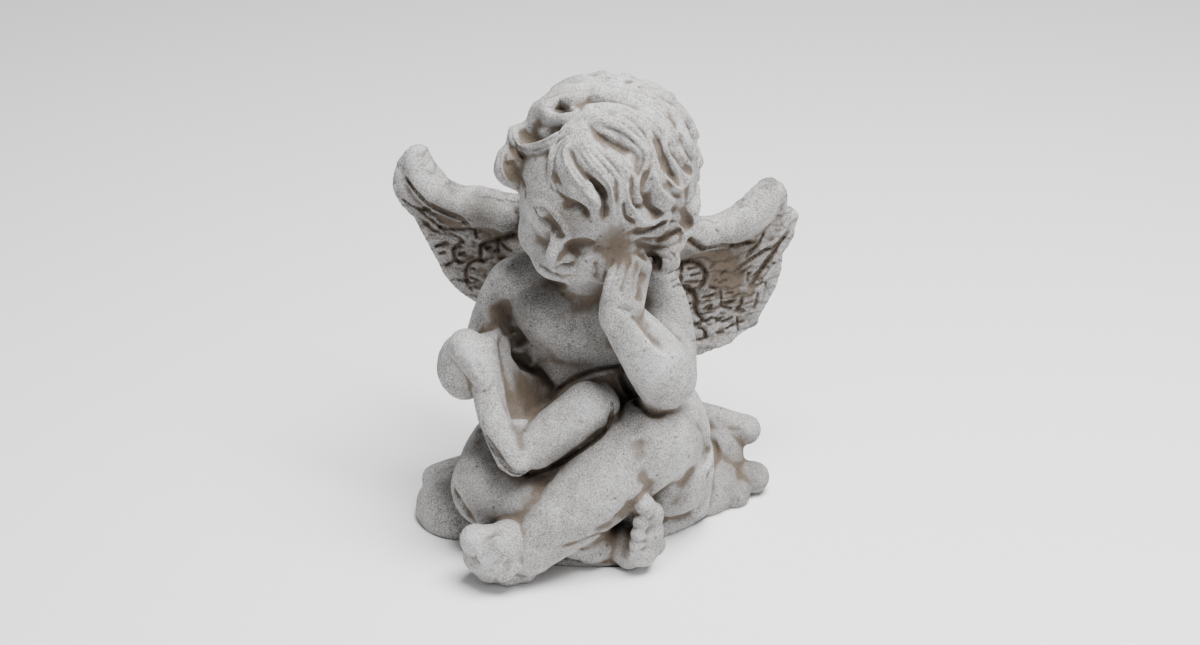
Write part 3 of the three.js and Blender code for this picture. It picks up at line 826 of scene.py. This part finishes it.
BARBS = [
    [(688, 269), (698, 267)], [(690, 276), (702, 273)], [(692, 282), (703, 281)], [(668, 274), (680, 268)],
    [(671, 281), (680, 277)], [(673, 287), (681, 283)], [(683, 297), (691, 293)], [(687, 305), (695, 303)],
    [(694, 326), (702, 324)], [(702, 298), (715, 295)], [(704, 308), (714, 305)], [(701, 314), (715, 312)],
    [(706, 323), (713, 316)], [(725, 294), (734, 292)], [(727, 304), (735, 301)], [(726, 329), (735, 323)],
    [(722, 322), (733, 317)], [(716, 322), (724, 316)], [(456, 248), (462, 246)], [(458, 255), (466, 252)],
    [(484, 249), (492, 248)], [(470, 270), (476, 268)], [(471, 278), (480, 281)], [(438, 254), (446, 252)],
]
BODY_STROKES = [
    (10, 4.5, [(493, 300), (503, 325), (520, 352), (538, 376), (550, 394)]),
    (6, 2.6, [(498, 318), (512, 345), (530, 368)]),
    (10, 2.2, [(638, 436), (640, 460), (646, 480), (656, 497)]),
    (5, 2.6, [(645, 272), (643, 290), (640, 304)]),
    (5, 2, [(640, 315), (652, 332), (664, 348)]),
    (1.3, 1.2, [(612, 258), (610, 268)]),
    (1.4, 1.3, [(609, 294), (613, 280), (620, 262)]),
    (1.4, 1.3, [(620, 294), (624, 279), (629, 258)]),
    (1.4, 1.5, [(631, 294), (634, 279), (638, 258)]),
    (1.4, 1.4, [(634, 516), (640, 514), (648, 515)]),
    (1.4, 1.3, [(632, 528), (638, 528), (646, 527)]),
    (1.4, 1.3, [(630, 539), (638, 542), (647, 541)]),
    (1.4, 1.0, [(628, 550), (636, 550), (644, 549)]),
    (1.6, 1.3, [(480, 551), (487, 547), (493, 541)]),
    (1.3, 1.1, [(484, 560), (492, 554), (500, 547)]),
    (1.3, 1.1, [(489, 568), (497, 562), (505, 555)]),
    (1.3, 1.1, [(496, 576), (504, 570), (511, 563)]),
    (6, 1.6, [(592, 534), (608, 526), (624, 512), (634, 499)]),
    (2.2, 2.2, [(545, 400), (558, 390), (575, 379), (590, 372), (605, 369), (619, 366)]),
    (1.8, -1, [(548, 403), (562, 392), (578, 382), (592, 376), (606, 373)]),
    (2.6, 3, [(480, 428), (492, 448), (504, 466), (514, 475), (530, 474), (552, 466), (575, 453), (595, 440),
              (607, 428), (613, 412)]),
    (2.6, 2.6, [(621, 378), (630, 394), (641, 408), (655, 416), (672, 411)]),
    (3, 1.4, [(630, 313), (645, 330), (658, 345), (668, 354)]),
    (1.8, 1.6, [(616, 308), (624, 310), (632, 312)]),
    (1.4, 1, [(472, 356), (480, 370), (486, 386)]),
    (3, 2, [(452, 488), (462, 506), (474, 522)]),
    (6, 1.4, [(692, 466), (686, 484), (678, 500), (672, 512)]),
    (3, 2, [(711, 440), (717, 452), (714, 468), (707, 480)]),
    (3.2, -2.4, [(688, 406), (700, 424), (708, 444), (710, 460), (704, 474)]),
    (2, 1.6, [(499, 259), (506, 257)]),
    (1.5, 1, [(728, 427), (736, 430), (742, 430)]),
    (1.2, 1.2, [(580, 549), (584, 549)]),
    (1.2, 1.2, [(578, 561), (582, 561)]),
    (1.8, 1.4, [(560, 548), (578, 543), (595, 537), (610, 531)]),
]
# Black lines painted along creases and contacts, as the shadow in them: under the book, at the elbow and wrist,
# round the eye and mouth, and in the curls.
BLACK_SHADOW_LINES = [
    (1, 1.4, [(482, 432), (492, 450), (504, 467), (514, 475), (530, 474)]),
    (1, 1.6, [(552, 466), (575, 453), (595, 440), (607, 428)]),
    (1, 1.4, [(560, 388), (575, 379), (590, 372), (605, 369), (619, 366)]),
    (1, 1.6, [(612, 403), (614, 412), (612, 420)]),
    (1, 1.0, [(627, 390), (634, 400), (642, 409), (650, 414)]),
    (1, 1.6, [(500, 259), (506, 257)]),
    (1, 1.6, [(580, 549), (584, 549)]),
    (1, 1.6, [(578, 561), (582, 561)]),
    (1, 1.2, [(552, 108), (560, 109), (568, 109)]),
    (1, 1.2, [(604, 198), (605, 208), (604, 216)]),
    (1, 1.0, [(522, 184), (524, 190)]),
    (1, 1.2, [(506, 158), (508, 166)]),
    (1, 1.0, [(652, 256), (656, 264)]),
    (1, 0.9, [(534, 206), (537, 214), (541, 219)]),
    (1, 1.2, [(540, 265), (547, 270), (554, 274)]),
    (1, 1.0, [(555, 267), (560, 268)]),
    (1, 1.0, [(614, 260), (611, 266)]),
    (1, 1.0, [(637, 285), (639, 276), (642, 268)]),
]
SMOOTH_LOCKS = {"temple roll", "temple bulge", "crown mass", "main lobe", "side curl"}
PIXELS_PER_MM = 2.13
FINE_LINES = []
for width, rise, points in [lock for name, lock in LOCKS_SEEN.items() if name not in SMOOTH_LOCKS]:
    for shift in (-0.45, 0.45):
        line = []
        for i, (across, down) in enumerate(points[1:-1], 1):
            run = Vector(points[i + 1]) - Vector(points[i - 1])
            side = Vector((-run.y, run.x)).normalized() * width * shift * PIXELS_PER_MM
            line.append((across + side.x, down + side.y))
        if len(line) > 2:
            FINE_LINES.append((1.3, 0.7, line))
WING_FIELDS = [
    ([(706, 256), (778, 244), (756, 306), (712, 300)], (-38, -24), 26),
    ([(706, 296), (756, 306), (738, 330), (700, 346)], (-14, -12), 30),
    ([(684, 266), (702, 266), (706, 334), (694, 344)], (-14, -10), 14),
    ([(408, 200), (440, 214), (450, 245), (432, 238)], (30, 14), 9),
    ([(440, 240), (500, 244), (490, 296), (466, 290)], (12, -12), 22),
]
SCRATCHES = []
for corners, slopes, number in WING_FIELDS:
    first, second, third, fourth = [Vector(corner) for corner in corners]
    for _ in range(number):
        u = random.random()
        spot = first.lerp(second, u).lerp(fourth.lerp(third, u), random.random())
        slope = math.radians(random.choice(slopes) + random.uniform(-7, 7))
        run = Vector((math.cos(slope), math.sin(slope))) * random.uniform(3, 6)
        width = random.uniform(1.2, 1.6)
        depth = random.uniform(0.5, 1.0)
        SCRATCHES.append((width, depth, [tuple(spot - run), tuple(spot + run)]))
PAGE = [(493, 345), (510, 421), (527, 420), (547, 402), (556, 386), (505, 328), (497, 336)]
press(statue, PAGE, 3.5, 4)
carve(statue, HAIR_HOLLOWS + FACE_STROKES + BODY_STROKES)
statue = fuse([statue], "stone_putto", 0.8, 1)
carve(statue, WING_STROKES + FINE_LINES + SCRATCHES + [(1.3, 1.2, points) for points in BARBS])

bpy.ops.object.mode_set(mode="EDIT")
bpy.ops.mesh.select_all(action="SELECT")
bpy.ops.mesh.bisect(plane_co=(0, 0, 0), plane_no=(0, 0, 1), use_fill=True, clear_inner=True)
bpy.ops.object.mode_set(mode="OBJECT")

# Casting skin
# The stone's surface is uneven from the mould and the weather, and the whole mesh is thinned out
# evenly when it has too many triangles. The feathered plates are rougher.
MOST_TRIANGLES = 190000
PLATE_HALF = 5.4
BUMPS = ((90, 0.30, 0.3), (260, 0.16, 0.42), (520, 0, 0.3))
BASE_LEFT_FLAT = 0.0005


def on_plates(places):
    """One where a point is on the flat of a wing, nought elsewhere."""
    share = np.zeros(len(places))
    for wing, wing_tree in zip(WINGS.values(), wing_trees):
        first, second, third = wing["plane"]
        facing = (second - first).cross(third - first).normalized()
        off = np.abs((places - np.array(first)) @ np.array(facing))
        for i in np.flatnonzero(off < PLATE_HALF * MM):
            if wing_tree.find_nearest(Vector(places[i]), 2 * MM)[0] is not None:
                share[i] = 1
    return share


for place_scale, height, plate_height in BUMPS:
    places = vectors(statue, "co")
    normals = vectors(statue, "normal")
    heights = height + (plate_height - height) * on_plates(places)
    bumps = np.array([noise.noise(Vector(place) * place_scale) for place in places])
    places += normals * (bumps * heights * MM)[:, None] * (places[:, 2:3] > BASE_LEFT_FLAT)
    statue.data.vertices.foreach_set("co", places.ravel())
    statue.data.update()
triangles = sum(len(face.vertices) - 2 for face in statue.data.polygons)
if triangles > MOST_TRIANGLES:
    thin = statue.modifiers.new("thin", "DECIMATE")
    thin.ratio = MOST_TRIANGLES / triangles
    bpy.ops.object.modifier_apply(modifier="thin")

# Dirt and painted shade
# Rain has left brown dirt in the hollows and in patches, and black lines in the tool cuts. Light and shade
# are painted in as well: rays darken the creases and the places under parts, brown and grime dabs also lie
# in shadowed places, black shadow lines run along creases and contacts, and pale dabs put highlights on
# the lit tops.
# Each kind is kept as a mask on the mesh: across, down, size in picture points, and strength.
# Brown dabs: real brown stains, and painted shade where they sit in shadowed places, as in the valley between the
# right arm and the chest and under the book.
STAINS_AND_SHADE = [
    (615, 240, 22, 1.0), (606, 252, 14, 0.9), (596, 274, 9, 0.8), (562, 278, 8, 0.5), (553, 228, 9, 0.4),
    (578, 246, 12, 0.6), (568, 206, 9, 0.7), (602, 205, 6, 0.7), (515, 170, 16, 0.8), (523, 133, 6, 0.6),
    (640, 310, 14, 0.5), (655, 325, 16, 0.5), (650, 300, 12, 0.5), (663, 340, 10, 0.4), (508, 310, 16, 0.5),
    (500, 330, 18, 0.6), (520, 350, 20, 0.7), (545, 385, 20, 0.8), (487, 405, 10, 0.9), (497, 425, 9, 1.0),
    (491, 435, 7, 0.9), (501, 447, 6, 0.7), (513, 400, 16, 0.8), (525, 385, 16, 0.7), (532, 410, 14, 0.8),
    (540, 425, 8, 0.5), (565, 455, 20, 0.6), (590, 435, 14, 0.6), (616, 410, 10, 0.9), (660, 430, 12, 0.6),
    (655, 412, 12, 0.6), (645, 480, 14, 0.8), (655, 495, 12, 0.7), (690, 480, 12, 0.7), (678, 500, 10, 0.5),
    (718, 455, 12, 0.8), (705, 440, 8, 0.4), (690, 425, 9, 0.5), (700, 415, 8, 0.6), (468, 515, 12, 0.9),
    (455, 495, 12, 0.8), (443, 480, 12, 0.8), (437, 470, 9, 0.6), (478, 440, 12, 0.6), (480, 460, 10, 0.5),
    (610, 528, 16, 0.8), (625, 515, 14, 0.8), (600, 545, 18, 0.5), (635, 498, 10, 0.7), (570, 540, 14, 0.4),
    (612, 112, 8, 0.5), (590, 110, 8, 0.4), (628, 82, 8, 0.5), (566, 125, 8, 0.3), (640, 140, 7, 0.3),
    (725, 275, 24, 1.1), (715, 262, 18, 0.7), (690, 258, 14, 0.8), (735, 290, 14, 0.6), (757, 285, 12, 0.6),
    (690, 280, 16, 0.5), (450, 217, 16, 0.7), (425, 205, 12, 0.6), (412, 188, 8, 0.6), (490, 245, 14, 0.6),
    (505, 240, 14, 0.7), (470, 255, 14, 0.4), (430, 225, 10, 0.5), (720, 250, 12, 0.7), (750, 248, 10, 0.4),
    (690, 216, 10, 0.6), (678, 176, 9, 0.7), (662, 160, 7, 0.5), (690, 168, 7, 0.6), (655, 213, 9, 0.6),
    (655, 262, 10, 0.9), (640, 262, 10, 0.8), (662, 241, 9, 0.5), (545, 485, 12, 0.5), (520, 482, 10, 0.5),
]
# Pale dabs: paler worn stone, and painted highlights on the lit tops of the arm, book, feet, wing knob and crown.
PALE_AND_HIGHLIGHT = [
    (660, 365, 26, 0.8), (640, 345, 14, 0.6), (470, 350, 16, 0.8), (590, 405, 20, 0.7), (560, 430, 20, 0.5),
    (475, 540, 20, 0.8), (490, 565, 18, 0.6), (645, 540, 14, 0.7), (410, 160, 16, 0.7), (425, 178, 14, 0.6),
    (765, 203, 12, 0.3), (530, 220, 14, 0.5), (585, 200, 12, 0.5), (640, 110, 22, 0.4),
    (600, 100, 22, 0.4), (610, 320, 10, 0.6), (680, 470, 14, 0.4), (600, 480, 22, 0.4), (752, 430, 10, 0.5),
]
# Grime dabs: real grime on the wings and curls, and painted shade in shadowed places, such as the chest under the
# head and the valley under the book.
GRIME_AND_SHADE = [
    (725, 270, 50, 1.0), (700, 300, 36, 0.8), (735, 320, 36, 0.35), (770, 250, 30, 0.4), (690, 250, 26, 1.0),
    (450, 215, 34, 0.7), (480, 225, 30, 0.7), (425, 215, 24, 0.6), (465, 260, 34, 0.7), (500, 245, 22, 0.9),
    (615, 240, 26, 1.0), (590, 228, 26, 0.4), (560, 215, 26, 0.4), (575, 245, 20, 0.7), (540, 255, 20, 0.3),
    (560, 310, 44, 0.35), (590, 330, 30, 0.35), (600, 300, 22, 0.8), (520, 320, 34, 0.5), (500, 310, 26, 0.6),
    (570, 375, 34, 0.7), (520, 390, 26, 1.0), (530, 405, 18, 1.0), (480, 480, 34, 0.4), (470, 450, 26, 0.4),
    (520, 480, 26, 0.5), (655, 245, 34, 0.6), (680, 200, 22, 0.5), (515, 165, 22, 0.8), (535, 140, 16, 0.5),
    (650, 300, 24, 0.5), (610, 530, 30, 0.8), (600, 555, 26, 0.5), (700, 440, 30, 0.4), (720, 440, 24, 0.5),
    (450, 490, 22, 0.5), (560, 450, 30, 0.5), (600, 430, 22, 0.5), (545, 540, 24, 0.4),
    (535, 165, 36, 0.3), (640, 275, 26, 0.9), (625, 262, 16, 0.8), (740, 470, 60, 0.8), (640, 450, 50, 0.38),
    (590, 485, 50, 0.33), (485, 488, 40, 0.6), (715, 335, 30, 0.3), (480, 565, 26, 0.15), (650, 535, 30, 0.45),
    (735, 300, 40, 0.8), (745, 260, 30, 0.6), (605, 258, 18, 0.7), (665, 262, 22, 0.7), (640, 190, 60, 0.25),
    (575, 222, 26, 0.75), (685, 320, 28, 0.45), (500, 275, 26, 0.2), (478, 212, 26, 1.0), (528, 240, 24, 0.2),
    (458, 372, 30, 0.2), (765, 205, 30, 0.25), (445, 500, 30, 0.2), (560, 545, 40, 0.4), (690, 500, 36, 0.35),
    (520, 500, 40, 0.35), (540, 440, 40, 0.2), (660, 420, 26, 0.5), (605, 300, 14, 0.3), (560, 260, 14, 0.4),
]
noise_rng = np.random.default_rng(7)
RAYS = 14
RAY_REACH = 28
FINE_ROUNDS = 8
FINE_DEPTH = 0.35
BROAD_ROUNDS = 40
BROAD_DEPTH = 1.6
CRACK_AND_SHADOW_REACH = 3
CRACK_AND_SHADOW_WIDTH = 0.62
tree = BVHTree.FromObject(statue, bpy.context.evaluated_depsgraph_get())
places = vectors(statue, "co")
normals = vectors(statue, "normal")
edges = np.empty(len(statue.data.edges) * 2, dtype=np.int64)
statue.data.edges.foreach_get("vertices", edges)
edges = edges.reshape(-1, 2)
count = len(places)
shares = np.bincount(edges.ravel(), minlength=count)[:, None]


def spread(values):
    """The mean of each point's neighbours."""
    total = np.zeros_like(values)
    for axis in range(values.shape[1]):
        total[:, axis] = (
            np.bincount(edges[:, 0], values[edges[:, 1], axis], count)
            + np.bincount(edges[:, 1], values[edges[:, 0], axis], count)
        )
    return total / np.maximum(shares, 1)


soft = places.copy()
for _ in range(FINE_ROUNDS):
    soft = spread(soft)
fine_hollow = np.clip(((soft - places) * normals).sum(axis=1) / (FINE_DEPTH * MM), -1, 1)
for _ in range(BROAD_ROUNDS):
    soft = spread(soft)
broad_hollow = np.clip(((soft - places) * normals).sum(axis=1) / (BROAD_DEPTH * MM), -1, 1)

# Painted shade: the share of short rays from each point that hit the statue. It darkens the colour in creases,
# between parts and under them.
rays = noise_rng.normal(size=(RAYS, 3))
rays /= np.linalg.norm(rays, axis=1)[:, None]
occlusion_shade = np.zeros(count)
for ray in rays:
    outward = np.where(((normals @ ray) > 0)[:, None], ray, -ray) + normals * 0.35
    starts = places + normals * 0.4 * MM
    for i in range(count):
        if tree.ray_cast(Vector(starts[i]), Vector(outward[i]), RAY_REACH * MM)[0] is not None:
            occlusion_shade[i] += 1
occlusion_shade = occlusion_shade[:, None] / RAYS
for _ in range(4):
    occlusion_shade = 0.5 * occlusion_shade + 0.5 * spread(occlusion_shade)
occlusion_shade = occlusion_shade[:, 0]


def dabs(spots):
    """How strongly each point is touched by soft round dabs at places in the picture."""
    touched = np.zeros(count)
    for across, down, size, strength in spots:
        start, ahead = picture_ray(across, down)
        place = tree.ray_cast(start, ahead)[0]
        if place is not None:
            gap = np.linalg.norm(places - np.array(place), axis=1) / (size / PIXELS_PER_MM * MM)
            touched = np.maximum(touched, strength * np.exp(-gap * gap * 1.2))
    return touched


# Black along the tool cuts, and painted shadow along the shadow lines at creases and contacts.
cracks_and_shadow = np.zeros(count)
for width, depth, points in WING_STROKES + BLACK_SHADOW_LINES + [(1, 1.3, points) for points in BARBS] + SCRATCHES:
    line, facing = seen_line(tree, points)
    if len(line) > 1:
        reach = CRACK_AND_SHADOW_REACH * MM
        near = np.flatnonzero(np.all((places > line.min(0) - reach) & (places < line.max(0) + reach), axis=1))
        gap = np.linalg.norm(places[near, None, :] - line[None, :, :], axis=2).min(axis=1)
        dark = np.clip(1.2 - gap / (CRACK_AND_SHADOW_WIDTH * MM), 0, 1) * min(1, max(0, depth) / 1.6)
        cracks_and_shadow[near] = np.maximum(cracks_and_shadow[near], dark)


def keep(name, values):
    layer = statue.data.attributes.new(name, "FLOAT", "POINT")
    layer.data.foreach_set("value", values.astype(np.float32))


keep("fine_hollow", fine_hollow)
keep("broad_hollow", broad_hollow)
keep("occlusion_shade", occlusion_shade)
keep("stain_and_shade", dabs(STAINS_AND_SHADE))
keep("grime_and_shade", dabs(GRIME_AND_SHADE))
keep("pale_and_highlight", dabs(PALE_AND_HIGHLIGHT))
keep("crack_and_shadow", cracks_and_shadow)
plates = on_plates(places)[:, None]
for _ in range(3):
    plates = 0.5 * plates + 0.5 * spread(plates)
keep("plate", plates[:, 0])

# Stone
# Pale grey cast stone, sandy and matt, with small pits from the mould. The masks lay soot and painted
# shade, brown dirt and painted shade in creases, painted highlights, and black cuts and painted crevice
# shadow over it.
STONE_DARK = (0.112, 0.103, 0.090, 1)
STONE_PALE = (0.57, 0.562, 0.562, 1)
SOOT_AND_SHADE = (0.078, 0.069, 0.058, 1)
DIRT_AND_SHADE_DARK = (0.040, 0.029, 0.020, 1)
DIRT_AND_SHADE_PALE = (0.150, 0.108, 0.074, 1)
CUT_AND_SHADOW_BLACK = (0.02, 0.016, 0.012, 1)
PIT_BROWN = (0.06, 0.045, 0.035, 1)
DIRT_AND_SHADE_SHARES = {
    "fine_hollow": 0.7,
    "broad_hollow": 0.6,
    "occlusion_shade": 1.0,
    "stain_and_shade": 1.4,
    "grime_and_shade": 0.7,
    "plate": 0.22,
}
STONE_ROUGHNESS = 0.9
STONE_SPECULAR = 0.25
GRAIN_STRENGTH = 0.6
GRAIN_DEPTH = 0.9

stone = bpy.data.materials.new("weathered stone")
stone.use_nodes = True
nodes = stone.node_tree.nodes
links = stone.node_tree.links
shader = nodes["Principled BSDF"]


def add(kind, settings=None, **sockets):
    item = nodes.new(kind)
    for key, value in (settings or {}).items():
        setattr(item, key, value)
    for key, value in sockets.items():
        socket = item.inputs[key.replace("_", " ")]
        if isinstance(value, bpy.types.NodeSocket):
            links.new(value, socket)
        else:
            socket.default_value = value
    return item


def calc(operation, *values, clamp=False):
    item = nodes.new("ShaderNodeMath")
    item.operation = operation
    item.use_clamp = clamp
    for socket, value in zip(item.inputs, values):
        if isinstance(value, bpy.types.NodeSocket):
            links.new(value, socket)
        else:
            socket.default_value = value
    return item.outputs[0]


def blend(factor, first, second):
    item = nodes.new("ShaderNodeMix")
    item.data_type = "RGBA"
    for socket, value in ((item.inputs[0], factor), (item.inputs[6], first), (item.inputs[7], second)):
        if isinstance(value, bpy.types.NodeSocket):
            links.new(value, socket)
        else:
            socket.default_value = value
    return item.outputs[2]


def mask(name):
    return add("ShaderNodeAttribute", {"attribute_name": name}).outputs["Fac"]


place = add("ShaderNodeTexCoord").outputs["Object"]
clouds = add("ShaderNodeTexNoise", Vector=place, Scale=38, Detail=5, Roughness=0.6).outputs["Fac"]
blots = add("ShaderNodeTexNoise", Vector=place, Scale=170, Detail=8, Roughness=0.68).outputs["Fac"]
sand = add("ShaderNodeTexNoise", Vector=place, Scale=1300, Detail=3, Roughness=0.6).outputs["Fac"]
pit_cells = add("ShaderNodeTexVoronoi", Vector=place, Scale=150).outputs["Distance"]
pits = calc("LESS_THAN", pit_cells, calc("MULTIPLY", calc("SUBTRACT", clouds, 0.35), 0.55))

barb_lines = add("ShaderNodeTexWave", {"bands_direction": "Z"}, Vector=place, Scale=46, Distortion=7, Detail=3,
                 Detail_Scale=1.6).outputs["Fac"]
barbs = calc("MULTIPLY", calc("SUBTRACT", barb_lines, 0.72, clamp=True), 3, clamp=True)
barbs = calc("MULTIPLY", barbs, calc("MULTIPLY", mask("plate"), calc("MULTIPLY", blots, 1.3)), clamp=True)

light_share = calc("ADD", calc("MULTIPLY", blots, 0.9), calc("MULTIPLY", clouds, 0.6))
light_share = calc("ADD", light_share, calc("MULTIPLY", sand, 2.2))
light_share = calc("SUBTRACT", light_share, 1.36)
# The pale mask lightens the stone: worn stone and painted highlights.
light_share = calc("ADD", light_share, calc("MULTIPLY", mask("pale_and_highlight"), 0.36), clamp=True)
colour = blend(light_share, STONE_DARK, STONE_PALE)
# Grime and the ray shade darken the stone towards soot grey: real grime and painted shade.
soot_and_shade = calc("ADD", calc("MULTIPLY", mask("grime_and_shade"), 0.75), calc("MULTIPLY", mask("occlusion_shade"), 0.5), clamp=True)
colour = blend(soot_and_shade, colour, SOOT_AND_SHADE)

# Brown from the hollows, stains, grime, wing plates and the ray shade: real dirt, and painted shade in creases and
# under parts.
dirt_and_shade = 0
for name, share in DIRT_AND_SHADE_SHARES.items():
    dirt_and_shade = calc("ADD", dirt_and_shade, calc("MULTIPLY", mask(name), share))
dirt_and_shade = calc("ADD", dirt_and_shade, calc("MULTIPLY", calc("SUBTRACT", blots, 0.5), 2.6))
dirt_and_shade = calc("ADD", dirt_and_shade, calc("MULTIPLY", calc("SUBTRACT", sand, 0.5), 1.6))
dirt_and_shade = calc("SUBTRACT", dirt_and_shade, 0.15)
dirt_and_shade = calc("MULTIPLY", dirt_and_shade, calc("ADD", calc("MULTIPLY", blots, 1.5), 0.2), clamp=True)
brown = blend(blots, DIRT_AND_SHADE_DARK, DIRT_AND_SHADE_PALE)
colour = blend(calc("MULTIPLY", dirt_and_shade, 0.85), colour, brown)
# Painted shadow: black where the ray shade is strongest, in the deepest creases.
deep_shadow = calc("ADD", calc("MULTIPLY", mask("occlusion_shade"), 1.7), calc("MULTIPLY", mask("fine_hollow"), 0.35))
deep_shadow = calc("SUBTRACT", deep_shadow, 0.95, clamp=True)
black = calc("ADD", mask("crack_and_shadow"), deep_shadow, clamp=True)
black = calc("ADD", black, calc("MULTIPLY", barbs, 0.8), clamp=True)
colour = blend(black, colour, CUT_AND_SHADOW_BLACK)
colour = blend(calc("MULTIPLY", pits, 0.6), colour, PIT_BROWN)
links.new(colour, shader.inputs["Base Color"])
shader.inputs["Roughness"].default_value = STONE_ROUGHNESS
shader.inputs["Specular IOR Level"].default_value = STONE_SPECULAR
relief = calc("ADD", calc("MULTIPLY", sand, 0.5), calc("MULTIPLY", blots, 0.9))
relief = calc("SUBTRACT", relief, calc("MULTIPLY", pits, 0.6))
relief = calc("SUBTRACT", relief, calc("MULTIPLY", barbs, 0.5))
bump = add("ShaderNodeBump", Height=relief, Strength=GRAIN_STRENGTH, Distance=GRAIN_DEPTH * MM)
links.new(bump.outputs["Normal"], shader.inputs["Normal"])
statue.data.materials.clear()
statue.data.materials.append(stone)
bpy.ops.object.shade_smooth()

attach(statue, "root")
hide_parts("putto")
